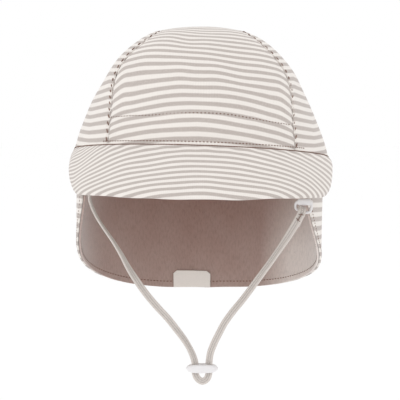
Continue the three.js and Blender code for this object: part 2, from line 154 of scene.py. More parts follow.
# The peak by the angle from the front: its edge ahead, sideways and down, its padding and its belly.
PEAK_ROWS = {
    "around": (0, 15, 30, 45, 60, 72, 80, 88, 96, 101),
    "ahead": (1, 1, 0.95, 0.8, 0.62, 0.43, 0.26, 0.13, 0.05, 0.02),
    "spread": (0, 0.1, 0.19, 0.22, 0.165, 0.085, 0.045, 0.02, 0.012, 0.005),
    "drop": (1, 0.99, 0.97, 0.97, 0.94, 0.69, 0.42, 0.2, 0.08, 0.05),
    "padding": (1, 1, 0.98, 0.9, 0.75, 0.6, 0.48, 0.42, 0.36, 0.29),
    "belly": (0.1, 0.12, 0.25, 0.4, 0.5, 0.55, 0.45, 0.25, 0.1, 0),
}

# Section of the peak from its root over the edge and back under it.
PEAK_SECTION = {
    "point": (0, 1, 2, 3, 4, 5, 6, 7, 8, 9, 10, 11, 12, 13, 14),
    "along": (0, 0.14, 0.32, 0.52, 0.72, 0.88, 0.96, 1, 0.97, 0.9, 0.72, 0.52, 0.32, 0.14, 0),
    "proud": (0, 0.1, 0.18, 0.2, 0.17, 0.08, -0.1, -0.38, -0.66, -0.8, -0.8, -0.72, -0.56, -0.38, -0.29),
}

# The flap's front edges from rim to hem, and its hem from the back to the corners.
FRONT_EDGE_ROWS = {
    "run": (0, 0.3, 0.55, 0.8, 1),
    "turn": (116, 116, 114.5, 107, 99),
    "drop": (0, 0.2, 0.35, 0.48, 0.575),
}

HEM_ROWS = {
    "turn": (0, 28, 48, 64, 78, 91, 99),
    "drop": (1, 0.975, 0.92, 0.843, 0.752, 0.65, 0.575),
}

# Points of the cord's route in millimetres, as in the source.
CORD_ROUTE = (
    (-65.5, -38.6, 3.0), (-66.1, -38.0, -8.0), (-66.5, -37.3, -18.0), (-66.1, -37.2, -26.0),
    (-62.7, -37.5, -34.6), (-57.9, -38.1, -42.4), (-52.4, -38.7, -50.2), (-47.7, -39.2, -57.8),
    (-43.7, -39.7, -65.2), (-38.9, -40.2, -72.8), (-32.9, -40.8, -81.2), (-26.7, -41.3, -88.6),
    (-20.2, -41.8, -95.6), (-14.5, -42.4, -102.7), (-9.3, -42.9, -109.8), (-5.7, -43.5, -116.4),
    (-4.0, -44.0, -121.6), (-3.8, -44.0, -125.3), (-3.6, -44.0, -128.6), (-2.2, -44.0, -131.6),
    (0.5, -44.0, -133.2), (3.1, -44.0, -131.8), (4.3, -44.0, -128.8), (4.4, -44.0, -125.3),
    (4.5, -44.0, -121.6), (5.3, -44.7, -116.0), (7.6, -45.3, -109.8), (10.3, -46.0, -104.2),
    (13.6, -46.8, -97.8), (18.3, -47.6, -91.0), (23.9, -48.5, -84.0), (29.1, -49.4, -76.9),
    (33.9, -50.4, -70.0), (39.0, -51.5, -62.8), (44.1, -52.6, -55.2), (48.7, -54.0, -48.1),
    (52.5, -55.4, -41.8), (55.7, -57.0, -36.0), (57.9, -57.9, -31.8), (58.5, -57.1, -29.4),
    (58.7, -54.5, -28.4), (58.7, -51.9, -29.4), (58.3, -51.1, -31.9), (56.7, -51.4, -35.8),
    (54.9, -51.7, -39.6),
)

# How far the flat braid is turned from facing the front, by the route's points, and how wide it lies there.
CORD_LAY = {
    "point": (0, 3, 6, 8, 9.5, 12, 13.5, 14.5, 15.5, 16.5, 20, 23.5, 25, 28, 31, 34, 36, 38, 44),
    "turn": (80, 80, 74, 50, 15, 0, 28, 40, 25, 20, 12, 20, 12, 18, 34, 42, 22, 0, 0),
    "width": (1, 1, 1, 1, 1, 1, 1, 1, 1, 1, 0.98, 1, 1, 1, 1, 1, 1.1, 1.12, 1.12),
}

# Steps from one point of the route to the next, and the depth and half width of the groove along the
# braid's middle, as shares of its thickness and width.
CORD_STEPS = 10
BRAID_GROOVE = 0.22

# Steps of the cord's path between which its sewn end is stitched down, the share of its width that the
# stitches swing to each side, and how high they lie over its middle.
SEWN_END = (371, 380)
SEWN_SHARE = 0.44
SEWN_LIFT = 0.85

# Tilt of the crown's stripes by the share of the centre line from rim to apex, and their roll to the side.
STRIPE_ROWS = {
    "share": (0, 0.05, 0.27, 0.45, 0.62, 0.68, 0.8, 0.9, 1),
    "tilt": (-22, -22, -29, -22, -15, -15, -22, -45, -90),
    "roll": (2, 2, 1.6, 1.5, 1.6, 1.8, 2.4, 2.7, 2.7),
}

# The peak's stripes by the angle from the front: where their run starts, its pace and its bow.
PEAK_LAY = {
    "around": (-101, -75, -60, -50, -40, -30, -20, -10, 0, 10, 20, 30, 40, 50, 60, 75, 101),
    "start": (
        -96, -66, -53, -38, -24.5, -16.4, -11.8, -8.6, -6.7,
        -7.6, -10.4, -16.5, -23.6, -29.7, -34.6, -39.6, -48,
    ),
    "pace": (2.2, 2.2, 1.7, 1.36, 1.16, 1.13, 1.15, 1.17, 1.17, 1.16, 1.16, 1.2, 1.2, 1.08, 1, 0.92, 0.9),
    "bow": (0, 1, 3, 5, 5, 3.4, 3, 2.6, 1.6, 1.6, 2.6, 2.6, 3, 3, 2, 1, 0),
}

# Where the crown's stripes wander off their even run: each bump's place, spread and shift.
STRIPE_WANDER = (
    (-35, 75, 22, 25, 6), (-35, 50, 22, 12, 1.8), (42, 48, 12, 16, 1.9), (20, 80, 16, 20, -2.3),
    (18, 36, 14, 10, 1.1), (0, 95, 12, 8, -3), (25, 14, 25, 9, -0.9), (-25, 18, 14, 8, -0.6),
    (-12, 48, 6, 16, 0.6), (-29, 48, 9, 14, -0.9), (-46, 48, 4.5, 22, 1.7), (-8, 78, 8, 9, -2.4),
    (9, 51, 8, 10, 0.9), (24, 42, 9, 10, -0.8), (46, 45, 5, 20, 1.4), (2, 15, 12, 7, 0.6),
)

# Where a stripe starts on each kind of panel, as a share of the pitch.
CENTRE_PHASE = 0.38
SIDE_PHASE = 0.0
FLAP_PHASE = 0.5

# The side panels' stripes by side: height of the first along the cloth, and their pace.
SIDE_LAY = {-1: (3.2, 1.083), 1: (5.65, 1.1)}

# How the side panels' stripes lean to the side, and how they droop: from how far off the middle, within
# which limits, and at what rate for a stripe at the rim and for each millimetre up the cloth.
SIDE_LEAN = 0.02
DROOP_START = 58
DROOP_LIMITS = (-3, 8)
DROOP_RATE = (0.06, 0.008)

# The crown's seams: how deep the cloth dips into them and how far from them it starts to, and how far off
# their stitches are, on the side panels.
SEAM_DIP = 0.9
SEAM_SOFT = 1.3
SEAM_STITCH_OFF = 0.9

# Puckers beside the seams, their depth, reach and pitch: in millimetres on the crown, and on the peak in
# shares of its reach and degrees. Then the depth and length of the soft dents in each panel.
CENTRE_PUCKERS = (0.22, 5, 5.5)
SIDE_PUCKERS = (0.25, 6, 5.2)
PEAK_PUCKERS = (0.3, 0.14, 60 / 7)
CENTRE_DENTS = (0.4, 38)
SIDE_DENTS = (0.4, 34)
PEAK_DENTS = (0.35, 30)

# Crease under the upper stitch row: its depth, and its half width as a share of the plan.
BAND_CREASE = (0.18, 0.012)

# Rough lengths of the centre panel from rim to rim and of the side panels along the rim and up.
CENTRE_LENGTH = 260
SIDE_LENGTH = 120
SIDE_HEIGHT = 90

# The flap's stitch row: its share of the drop, and its share of the width in from the front edges.
FLAP_ROW_LOW = 0.95
FLAP_ROW_IN = 0.0105

# Rows over the crown's front: their ends as angles from the front, their share of the stitch pitch, how
# long a stitch is, and how far the row stands off the cloth.
BAND_SEWING = ((-49, 45), 0.9, 1.1, -0.1)
RIM_SEWING = ((-48, 51), 0.85, 1.4, 0.1)
TOPSTITCH_THICK = 0.55

# Pitch, length and thickness of the thread in the peak's seam and of the dashes in the panel seams, how far
# in degrees the dashes slant, and how far they sink towards the rim. Length and thickness in the flap's rows.
PEAK_THREAD = (1.6, 2.0, 0.55)
PEAK_THREAD_END = 96
SEAM_DASHES = (4.9, 3.1, 0.8)
DASH_SLANT = 16
DASH_SINK = 0.55
FLAP_STITCHES = (1.6, 0.65)

# Voxels in metres that melt the toggle's and the hook's skins, and the rounds that soften them.
TOGGLE_SKIN = (0.00022, 4)
HOOK_SKIN = (0.00018, 3)

# The upper stitch row of the inner band and the row over the rim, by the angle from the front and the
# plan's radius.
BAND_ROWS = {
    "around": (-50, -31, -23, -14, 0, 12, 21, 36, 46),
    "radius": (0.846, 0.839, 0.837, 0.828, 0.821, 0.824, 0.836, 0.854, 0.86),
}
RIM_ROWS = {"around": (-50, 55), "radius": (0.982, 0.982)}


def ramp(rows, key, at, column):
    """Smooth value of one column of a table at places in its key column."""
    keys = np.array(rows[key], dtype=float)
    values = np.array(rows[column], dtype=float)
    width = np.diff(keys)
    slope = np.diff(values) / width
    tangent = np.concatenate((slope[:1], slope, slope[-1:]))[:-1].copy()
    tangent[-1] = slope[-1]
    tangent[1:-1] = (slope[:-1] * width[1:] + slope[1:] * width[:-1]) / (width[:-1] + width[1:])
    at = np.clip(np.asarray(at, dtype=float), keys[0], keys[-1])
    low = np.clip(np.searchsorted(keys, at, side="right") - 1, 0, len(keys) - 2)
    u = (at - keys[low]) / width[low]
    start = (2 * u**3 - 3 * u**2 + 1) * values[low]
    end = (3 * u**2 - 2 * u**3) * values[low + 1]
    leave = (u**3 - 2 * u**2 + u) * width[low] * tangent[low]
    arrive = (u**3 - u**2) * width[low] * tangent[low + 1]
    return start + end + leave + arrive


def stack(*columns):
    """Columns of numbers as rows of points."""
    return np.stack(np.broadcast_arrays(*columns), axis=-1).astype(float)


def unit(vectors):
    """Vectors at length one."""
    return vectors / np.linalg.norm(vectors, axis=-1, keepdims=True)


def run_along(points):
    """Distance of each point from the first, along the line through them."""
    return np.concatenate(([0], np.cumsum(np.linalg.norm(np.diff(points, axis=0), axis=1))))


def round_angles(sides):
    """Angles of the corners of a ring."""
    return 2 * math.pi * np.arange(sides) / sides


def swollen(wave, power):
    """Sine or cosine raised to a power with its sign kept, for rings that are boxy or round."""
    return np.sign(wave) * np.abs(wave) ** power


def patch(bottom, top, left, right, u, v):
    """Places of a four-sided patch between its edge curves."""
    zero, one = np.zeros(1), np.ones(1)
    u, v = u[:, None], v[:, None]
    edges = (1 - v) * bottom(u[:, 0]) + v * top(u[:, 0]) + (1 - u) * left(v[:, 0]) + u * right(v[:, 0])
    corners = (1 - u) * (1 - v) * bottom(zero) + u * (1 - v) * bottom(one)
    corners = corners + (1 - u) * v * top(zero) + u * v * top(one)
    return edges - corners


def soft_dents(points, depth, length):
    """Shallow dents of soft cloth: a fixed sum of long waves in several directions."""
    found = 0
    for turn, share in ((0.3, 1.0), (1.4, 0.71), (2.3, 1.37), (2.9, 0.53)):
        way = np.array((math.cos(turn), 0.6 * math.sin(turn), math.sin(turn + 0.7)))
        found = found + np.sin(points @ way * (2 * math.pi * share / length) + 5 * turn) * 0.4
    return found * depth


def puckers(near, run, depth, reach, pitch):
    """Small puckers beside a seam, by the distance from it and along it."""
    return depth * np.exp(-(near / reach) ** 2) * np.sin(2 * math.pi * run / pitch)


class CapForm:
    """Surfaces of the cap in millimetres, worked out from the sizes in the sidebar."""

    def __init__(self, sizes):
        self.half_width = sizes.half_width / MM
        self.front_reach = sizes.front_reach / MM
        self.back_reach = sizes.back_reach / MM
        self.crown_height = sizes.crown_height / MM
        self.peak_reach = sizes.peak_reach / MM
        self.peak_drop = sizes.peak_drop / MM
        self.flap_drop = sizes.flap_drop / MM

    def reach(self, cosine):
        """The rim's reach on the front or back, by the cosine of the angle from the front."""
        return np.where(cosine > 0, self.front_reach, self.back_reach)

    def rim_height(self, sine, cosine):
        """The rim's height, pitched up at the front and leant to one side."""
        return RIM_PITCH * cosine - RIM_LEAN * sine

    def rim_outward(self, around):
        """Level directions out of the rim."""
        sine, cosine = np.sin(np.radians(around)), np.cos(np.radians(around))
        return unit(stack(sine / self.half_width, -cosine / self.reach(cosine), 0 * sine))

    def rim_point(self, around, depth):
        """Points of the rim by the angle from the front, moved inwards by a depth."""
        sine, cosine = np.sin(np.radians(around)), np.cos(np.radians(around))
        edge = stack(self.half_width * sine, -self.reach(cosine) * cosine, self.rim_height(sine, cosine))
        return edge - self.rim_outward(around) * np.asarray(depth, dtype=float)[..., None]

    def crown_point(self, across, along):
        """Points of the crown from its flat plan, a disc with the apex in the middle."""
        radius = np.maximum(np.hypot(across, along), 1e-9)
        sine, cosine = across / radius, -along / radius
        height = ramp(CROWN_ROWS, "down", radius, "height")
        side = self.half_width * ramp(CROWN_ROWS, "down", radius, "side")
        front = self.front_reach * ramp(CROWN_ROWS, "down", radius, "front")
        back = self.back_reach * ramp(CROWN_ROWS, "down", radius, "back")
        rim = self.rim_height(sine, cosine)
        rise = rim + (self.crown_height - rim) * height
        return stack(side * sine, -np.where(cosine > 0, front, back) * cosine, rise)

    def seam_place(self, run, side, shift):
        """Places of a panel seam on the plan, from -1 at the front rim to 1 at the back, moved outwards."""
        step = 0.01
        place = np.abs(run)

        def point(at):
            return ramp(SEAM_ROWS, "run", at, "out"), ramp(SEAM_ROWS, "run", at, "along")

        out, along = point(place)
        out_next, along_next = point(np.minimum(place + step, 1))
        out_last, along_last = point(np.maximum(place - step, 0))
        length = np.hypot(out_next - out_last, along_next - along_last)
        moved_out = out + shift * (along_next - along_last) / length
        moved_along = along - shift * (out_next - out_last) / length
        return stack(side * moved_out, np.sign(run) * moved_along)

    def rim_place(self, start, end, share):
        """Places on the plan's edge, by their share of the way from one place to another."""
        first = math.atan2(start[0], -start[1])
        turn = math.atan2(end[0], -end[1]) - first
        turn -= 2 * math.pi * round(turn / (2 * math.pi))
        angle = first + share * turn
        return stack(np.sin(angle), -np.cos(angle))

    def centre_plan(self, u, v):
        """Places of the centre panel on the crown's flat plan, v from the front rim to the back rim."""
        shift = -GAP / 2 / self.half_width

        def left(w):
            return self.seam_place(2 * w - 1, -1, shift)

        def right(w):
            return self.seam_place(2 * w - 1, 1, shift)

        zero, one = np.zeros(1), np.ones(1)

        def front(w):
            return self.rim_place(left(zero)[0], right(zero)[0], w)

        def back(w):
            return self.rim_place(left(one)[0], right(one)[0], w)

        return patch(front, back, left, right, u, v)

    def side_plan(self, side, u, v):
        """Places of a side panel on the crown's flat plan, u from front to back, v from the rim up."""
        shift = GAP / 2 / self.half_width
        arch = 1 / 3

        def front(w):
            return self.seam_place(-1 + (1 - arch) * w, side, shift)

        def back(w):
            return self.seam_place(1 - (1 - arch) * w, side, shift)

        zero = np.zeros(1)

        def rim(w):
            return self.rim_place(front(zero)[0], back(zero)[0], w)

        def top(w):
            return self.seam_place(arch * (2 * w - 1), side, shift)

        return patch(rim, top, front, back, u, v)

    def peak_edge(self, around):
        """Vectors from the peak's root to its edge, by the angle from the front."""
        place = np.abs(around)
        drop_share = ramp(PEAK_ROWS, "around", place, "drop")
        spread = np.sign(around) * ramp(PEAK_ROWS, "around", place, "spread") * self.peak_reach
        drop = drop_share * (self.peak_drop - PEAK_LEVEL * np.sin(np.radians(around)))
        ahead = ramp(PEAK_ROWS, "around", place, "ahead") * self.peak_reach
        return stack(spread - drop_share * PEAK_SHIFT, -ahead, -drop)

    def peak_point(self, around, along, proud, extra):
        """Points of the padded peak by angle, share of its reach and share of its padding."""
        place = np.abs(around)
        root = self.rim_point(around, 0 * around) - np.array((0, 0, GAP))
        edge = self.peak_edge(around)
        length = np.linalg.norm(edge, axis=-1)
        forward = unit(edge)
        outward = self.rim_outward(around)
        upward = unit(outward - forward * np.sum(outward * forward, axis=-1, keepdims=True))
        belly = ramp(PEAK_ROWS, "around", place, "belly") * PEAK_BELLY * 4 * along * (1 - along)
        lift = proud * ramp(PEAK_ROWS, "around", place, "padding") * PEAK_PADDING + belly + extra
        return root + forward * (along * length)[..., None] + upward * lift[..., None]

    def flap_point(self, turn, drop, depth):
        """Points of the flap by turn from the back, drop as a share, and depth inwards."""
        around = 180 - turn - FLAP_SWING
        sine = np.sin(np.radians(around))
        in_tuck = FLAP_TUCK * WALL_LEAN * np.maximum(0, 1 - drop * self.flap_drop / FLAP_TUCK)
        point = self.rim_point(around, CROWN_WALL + GAP + depth + in_tuck)
        wave = WAVE_DEPTH * drop * np.cos(np.radians(turn * WAVE_COUNT))
        draw = NECK_DRAW * drop**2 * np.maximum(np.cos(np.radians(turn)), 0) ** 2
        point = point + self.rim_outward(around) * (wave - draw)[..., None]
        point[..., 0] -= FLAP_SWAY * (1 - (1 - drop) ** 3)
        top = point[..., 2] + FLAP_TUCK
        point[..., 2] = top * (1 - drop) - (self.flap_drop + HEM_LEAN * sine) * drop
        return point

    def flap_place(self, u, v):
        """Turn and drop of the flap's cloth, u from the hook's side round the back, v from rim to hem."""
        top, corner = FRONT_EDGE_ROWS["turn"][0], FRONT_EDGE_ROWS["turn"][-1]

        def seam(w):
            return stack(top * (1 - 2 * w), 0 * w)

        def hem(w):
            turn = corner * (1 - 2 * w)
            return stack(turn, ramp(HEM_ROWS, "turn", np.abs(turn), "drop"))

        def edge(w, side):
            turn = ramp(FRONT_EDGE_ROWS, "run", w, "turn")
            return stack(side * turn, ramp(FRONT_EDGE_ROWS, "run", w, "drop"))

        def first(w):
            return edge(w, 1)

        def last(w):
            return edge(w, -1)

        return patch(seam, hem, first, last, u, v)


def catmull(points, steps):
    """Points on a centripetal Catmull-Rom curve, with as many steps for each stretch."""
    points = np.array(points, dtype=float)
    first = 2 * points[0] - points[1]
    last = 2 * points[-1] - points[-2]
    chain = np.vstack((first, points, last))
    found = []
    for i in range(len(points) - 1):
        a, b, c, d = chain[i:i + 4]
        gaps = [np.sqrt(np.linalg.norm(q - p)) for p, q in ((a, b), (b, c), (c, d))]
        leave = ((b - a) / gaps[0] - (c - a) / (gaps[0] + gaps[1]) + (c - b) / gaps[1]) * gaps[1]
        arrive = ((c - b) / gaps[1] - (d - b) / (gaps[1] + gaps[2]) + (d - c) / gaps[2]) * gaps[1]
        u = np.arange(steps)[:, None] / steps
        cubic = (2 * b - 2 * c + leave + arrive) * u**3 + (3 * c - 3 * b - 2 * leave - arrive) * u**2
        found.append(cubic + leave * u + b)
    found.append(points[-1:])
    return np.vstack(found)


def deselect():
    """Leave edit mode and select nothing."""
    if bpy.context.object and bpy.context.object.mode != "OBJECT":
        bpy.ops.object.mode_set(mode="OBJECT")
    bpy.ops.object.select_all(action="DESELECT")


def pick(piece):
    """Select one piece alone and make it active."""
    deselect()
    piece.select_set(True)
    bpy.context.view_layer.objects.active = piece


def read_points(mesh):
    """Vertices of a mesh as rows of numbers."""
    flat = np.empty(len(mesh.vertices) * 3)
    mesh.vertices.foreach_get("co", flat)
    return flat.reshape(-1, 3)


def write_points(mesh, points):
    """Put the vertices of a mesh at rows of numbers, in metres."""
    mesh.vertices.foreach_set("co", np.ascontiguousarray(points, dtype=float).ravel())
    mesh.update()


def write_cloth(mesh, places):
    """Keep each vertex's place on its flat cloth, in millimetres, as the mesh's UV map."""
    while mesh.uv_layers:
        mesh.uv_layers.remove(mesh.uv_layers[0])
    layer = mesh.uv_layers.new(name="cloth")
    corners = np.empty(len(mesh.loops), dtype=np.int32)
    mesh.loops.foreach_get("vertex_index", corners)
    layer.data.foreach_set("uv", (places[corners] / CLOTH_UNIT).astype(float).ravel())


def smooth(piece, degrees=40):
    """Shade a piece smooth, with its sharp edges kept."""
    pick(piece)
    bpy.ops.object.shade_smooth_by_angle(angle=math.radians(degrees))


def apply_modifiers(piece):
    """Apply every modifier of a piece in order."""
    pick(piece)
    for modifier in list(piece.modifiers):
        bpy.ops.object.modifier_apply(modifier=modifier.name)


def cloth_area(mesh):
    """Area of one face of a sheet that has no wall yet, in square metres."""
    return sum(face.area for face in mesh.polygons)


def add_sheet(name, cells, surface, cloth, wall, roll=0.35):
    """Sheet of cloth: a grid laid on an outer surface, with its cloth map, its wall and rolled edges."""
    deselect()
    bpy.ops.mesh.primitive_grid_add(x_subdivisions=cells[0], y_subdivisions=cells[1], size=1)
    sheet = bpy.context.object
    sheet.name = name
    sheet.data.name = name
    flat = read_points(sheet.data)
    u, v = flat[:, 0] + 0.5, flat[:, 1] + 0.5
    points = surface(u, v)
    write_points(sheet.data, points * MM)
    write_cloth(sheet.data, cloth(u, v, points))
    middle = Vector((0, 0, float(points[:, 2].min() * MM)))
    facing = sum(face.normal.dot(face.center - middle) for face in sheet.data.polygons)
    if facing < 0:
        bpy.ops.object.mode_set(mode="EDIT")
        bpy.ops.mesh.select_all(action="SELECT")
        bpy.ops.mesh.flip_normals()
        bpy.ops.object.mode_set(mode="OBJECT")
    area = cloth_area(sheet.data)
    solidify = sheet.modifiers.new("Wall", "SOLIDIFY")
    solidify.thickness = wall * MM
    solidify.offset = -1
    bevel = sheet.modifiers.new("Rolled edge", "BEVEL")
    bevel.width = roll * MM
    bevel.segments = 2
    bevel.limit_method = "ANGLE"
    bevel.angle_limit = math.radians(60)
    apply_modifiers(sheet)
    smooth(sheet, 60)
    return sheet, area


def add_mesh(name, points, faces, places=None):
    """Piece from rows of points in metres and faces."""
    mesh = bpy.data.meshes.new(name)
    mesh.from_pydata(np.asarray(points).tolist(), [], faces)
    mesh.validate()
    mesh.update()
    if places is not None:
        write_cloth(mesh, places)
    piece = bpy.data.objects.new(name, mesh)
    bpy.context.scene.collection.objects.link(piece)
    return piece


def tube_faces(rings, size):
    """Faces of a closed tube of rings, with both ends filled."""
    faces = []
    for ring in range(rings - 1):
        for i in range(size):
            here, beside = ring * size + i, ring * size + (i + 1) % size
            faces.append((here, beside, beside + size, here + size))
    last = (rings - 1) * size
    faces.append(tuple(range(size))[::-1])
    faces.append(tuple(range(last, last + size)))
    return faces


def face_outwards(piece):
    """Turn all faces outwards."""
    pick(piece)
    bpy.ops.object.mode_set(mode="EDIT")
    bpy.ops.mesh.select_all(action="SELECT")
    bpy.ops.mesh.normals_make_consistent(inside=False)
    bpy.ops.object.mode_set(mode="OBJECT")


def linear(*srgb):
    """Linear colour from 0 to 255 values as a picture shows them."""
    shares = [value / 255 for value in srgb]
    return tuple(s / 12.92 if s <= 0.04045 else ((s + 0.055) / 1.055) ** 2.4 for s in shares)


def length_property(name, description, default):
    """Property that holds a length in metres."""
    return FloatProperty(name=name, description=description, default=default, unit="LENGTH")


def colour_property(name, description, *srgb):
    """Property that holds a colour."""
    return FloatVectorProperty(
        name=name, description=description, subtype="COLOR", default=linear(*srgb), min=0, max=1)


class CapSizes(bpy.types.PropertyGroup):
    """Sizes of the cap that a user would change."""

    half_width: length_property("Half width", "From the middle to the side of the rim", 0.0774)
    front_reach: length_property("Front reach", "From the middle to the front of the rim", 0.086)
    back_reach: length_property("Back reach", "From the middle to the back of the rim", 0.088)
    crown_height: length_property("Crown height", "From the rim's height to the top", 0.077)
    peak_reach: length_property("Peak reach", "How far the peak stands out of the rim", 0.037)
    peak_drop: length_property("Peak drop", "How far the peak's edge is below the rim", 0.0254)
    flap_drop: length_property("Flap drop", "How far the flap hangs down at the back", 0.095)
    stripe_pitch: length_property("Stripe pitch", "From one dark stripe to the next", 0.0055)
    wale_pitch: length_property("Wale pitch", "Width of one column of knit stitches", 0.0009)
    braid_width: length_property("Braid width", "Width of the flat chin cord", 0.0042)
    braid_height: length_property("Braid thickness", "Thickness of the flat chin cord", 0.0014)
    stitch_pitch: length_property("Stitch pitch", "From one topstitch to the next", 0.0024)


class CapColours(bpy.types.PropertyGroup):
    """Colours of the cap's cloth, thread, cord and plastic."""

    stripe_dark: colour_property("Dark stripe", "Mushroom stripe of the jersey", 192, 182, 176)
    stripe_light: colour_property("Light stripe", "Ecru ground of the jersey", 243, 237, 231)
    lining: colour_property("Lining", "Plain mauve jersey", 157, 126, 116)
    # Painted light: the paler colour that the lining is mixed towards at its front edges and low down, where
    # light falls on it.
    lining_lit: colour_property("Lit lining", "Paler lining near its front edges", 222, 210, 203)
    thread: colour_property("Thread", "Reddish brown topstitching", 122, 90, 76)
    braid: colour_property("Braid", "Pale flat chin cord", 222, 214, 208)
    label: colour_property("Label", "Cream woven label", 243, 236, 229)
    plastic: colour_property("Plastic", "White hook and toggle", 239, 237, 238)


class Tree:
    """Short calls for building a node tree."""

    def __init__(self, tree):
        self.tree = tree

    def node(self, kind, **values):
        """New node with some of its settings."""
        made = self.tree.nodes.new(kind)
        for key, value in values.items():
            setattr(made, key, value)
        return made

    def feed(self, socket, value):
        """Link a socket, or set a plain value on it."""
        if isinstance(value, bpy.types.NodeSocket):
            self.tree.links.new(value, socket)
        else:
            socket.default_value = value

    def math(self, operation, a, b=0.0, c=0.0, clamp=False):
        """Result of a math node."""
        made = self.node("ShaderNodeMath", operation=operation, use_clamp=clamp)
        for socket, value in zip(made.inputs, (a, b, c)):
            self.feed(socket, value)
        return made.outputs[0]

    def split(self, vector):
        """Parts of a vector as three values."""
        made = self.node("ShaderNodeSeparateXYZ")
        self.feed(made.inputs[0], vector)
        return made.outputs

    def mix(self, share, a, b):
        """Colour between two others."""
        made = self.node("ShaderNodeMix", data_type="RGBA")
        self.feed(made.inputs[0], share)
        self.feed(made.inputs[6], a)
        self.feed(made.inputs[7], b)
        return made.outputs[2]

    def noise(self, vector, scale, detail=2.0, rough=0.5):
        """Value of a noise texture, from 0 to 1."""
        made = self.node("ShaderNodeTexNoise")
        self.feed(made.inputs["Vector"], vector)
        made.inputs["Scale"].default_value = scale
        made.inputs["Detail"].default_value = detail
        made.inputs["Roughness"].default_value = rough
        return made.outputs[0]


def made_once(kind, name):
    """Let a function make a material or node group only where the file has none of its name."""
    def wrap(make):
        def give():
            return getattr(bpy.data, kind).get(name) or make(name)
        return give
    return wrap


def start_group(name, inputs, outputs):
    """New shader node group with named sockets."""
    group = bpy.data.node_groups.new(name, "ShaderNodeTree")
    for socket, kind in inputs:
        group.interface.new_socket(name=socket, in_out="INPUT", socket_type=kind)
    for socket, kind in outputs:
        group.interface.new_socket(name=socket, in_out="OUTPUT", socket_type=kind)
    tree = Tree(group)
    return group, tree, tree.node("NodeGroupInput").outputs, tree.node("NodeGroupOutput").inputs


@made_once("node_groups", "Jersey stripes")
def stripes_group(name):
    """Even dark stripes on a light ground, across the cloth map's second direction."""
    group, tree, given, results = start_group(
        name,
        [("Cloth", "NodeSocketVector"), ("Pitch", "NodeSocketFloat"), ("Phase", "NodeSocketFloat"),
         ("Dark", "NodeSocketColor"), ("Light", "NodeSocketColor")],
        [("Colour", "NodeSocketColor"), ("Dark share", "NodeSocketFloat")])
    parts = tree.split(given["Cloth"])
    waver = tree.noise(given["Cloth"], 9.0)
    run = tree.math("ADD", parts[1], tree.math("MULTIPLY", tree.math("SUBTRACT", waver, 0.5), 0.006))
    turns = tree.math("ADD", tree.math("DIVIDE", run, given["Pitch"]), given["Phase"])
    wave = tree.math("COSINE", tree.math("MULTIPLY", turns, 2 * math.pi))
    sharp = tree.math("MULTIPLY_ADD", wave, 1.35, 0.5, clamp=True)
    speckle = tree.noise(given["Cloth"], 170.0, 1.0)
    melange = tree.math("MULTIPLY_ADD", speckle, 1.1, 0.42, clamp=True)
    share = tree.math("MULTIPLY", sharp, melange)
    tree.feed(results["Dark share"], share)
    tree.feed(results["Colour"], tree.mix(share, given["Light"], given["Dark"]))
    return group


@made_once("node_groups", "Jersey knit")
def knit_group(name):
    """Columns of knit stitches as a height and a faint shade."""
    group, tree, given, results = start_group(
        name,
        [("Cloth", "NodeSocketVector"), ("Wale", "NodeSocketFloat")],
        [("Height", "NodeSocketFloat"), ("Shade", "NodeSocketFloat")])
    parts = tree.split(given["Cloth"])
    wale = tree.math("DIVIDE", parts[0], given["Wale"])
    course = tree.math("DIVIDE", parts[1], tree.math("MULTIPLY", given["Wale"], 0.75))
    lean = tree.math("PINGPONG", wale, 0.5)
    legs = tree.math("SINE", tree.math("MULTIPLY", tree.math("ADD", course, lean), 2 * math.pi))
    ridge = tree.math("ABSOLUTE", tree.math("SINE", tree.math("MULTIPLY", wale, math.pi)))
    fuzz = tree.noise(given["Cloth"], 260.0, 3.0)
    height = tree.math("MULTIPLY_ADD", legs, 0.3, ridge)
    tree.feed(results["Height"], tree.math("MULTIPLY_ADD", fuzz, 0.8, height))
    blotch = tree.noise(given["Cloth"], 5.0, 3.0)
    grain = tree.math("MULTIPLY_ADD", fuzz, 0.16, tree.math("MULTIPLY", blotch, 0.06))
    shade = tree.math("MULTIPLY_ADD", ridge, 0.06, tree.math("ADD", grain, 0.81))
    tree.feed(results["Shade"], tree.math("MULTIPLY_ADD", legs, 0.02, shade))
    return group


@made_once("node_groups", "Flat braid")
def braid_group(name):
    """Slanting strands that meet along the middle and two grooves, as a height and a shade."""
    group, tree, given, results = start_group(
        name,
        [("Cloth", "NodeSocketVector"), ("Strand", "NodeSocketFloat"), ("Groove", "NodeSocketFloat")],
        [("Height", "NodeSocketFloat"), ("Shade", "NodeSocketFloat")])
    parts = tree.split(given["Cloth"])
    side = tree.math("ABSOLUTE", parts[0])
    slant = tree.math("DIVIDE", tree.math("ADD", side, parts[1]), given["Strand"])
    strand = tree.math("ABSOLUTE", tree.math("SINE", tree.math("MULTIPLY", slant, math.pi)))
    fibre = tree.noise(given["Cloth"], 300.0, 2.0)
    away = tree.math("ABSOLUTE", tree.math("SUBTRACT", side, given["Groove"]))
    groove = tree.math("SUBTRACT", 1.0, tree.math("DIVIDE", away, 0.0035), clamp=True)
    height = tree.math("MULTIPLY_ADD", fibre, 0.3, tree.math("MULTIPLY", strand, 0.6))
    tree.feed(results["Height"], tree.math("MULTIPLY_ADD", groove, -1.2, height))
    shade = tree.math("MULTIPLY_ADD", strand, 0.26, 0.78)
    tree.feed(results["Shade"], tree.math("MULTIPLY_ADD", groove, -0.3, shade))
    return group


def new_material(name, rough, sheen=0.0, specular=0.2):
    """Material with its shader, ready for the nodes that feed it."""
    material = bpy.data.materials.new(name)
    material.use_nodes = True
    shader = material.node_tree.nodes["Principled BSDF"]
    shader.inputs["Roughness"].default_value = rough
    shader.inputs["Specular IOR Level"].default_value = specular
    shader.inputs["Sheen Weight"].default_value = sheen
    shader.inputs["Sheen Roughness"].default_value = 0.5
    return material, Tree(material.node_tree), shader


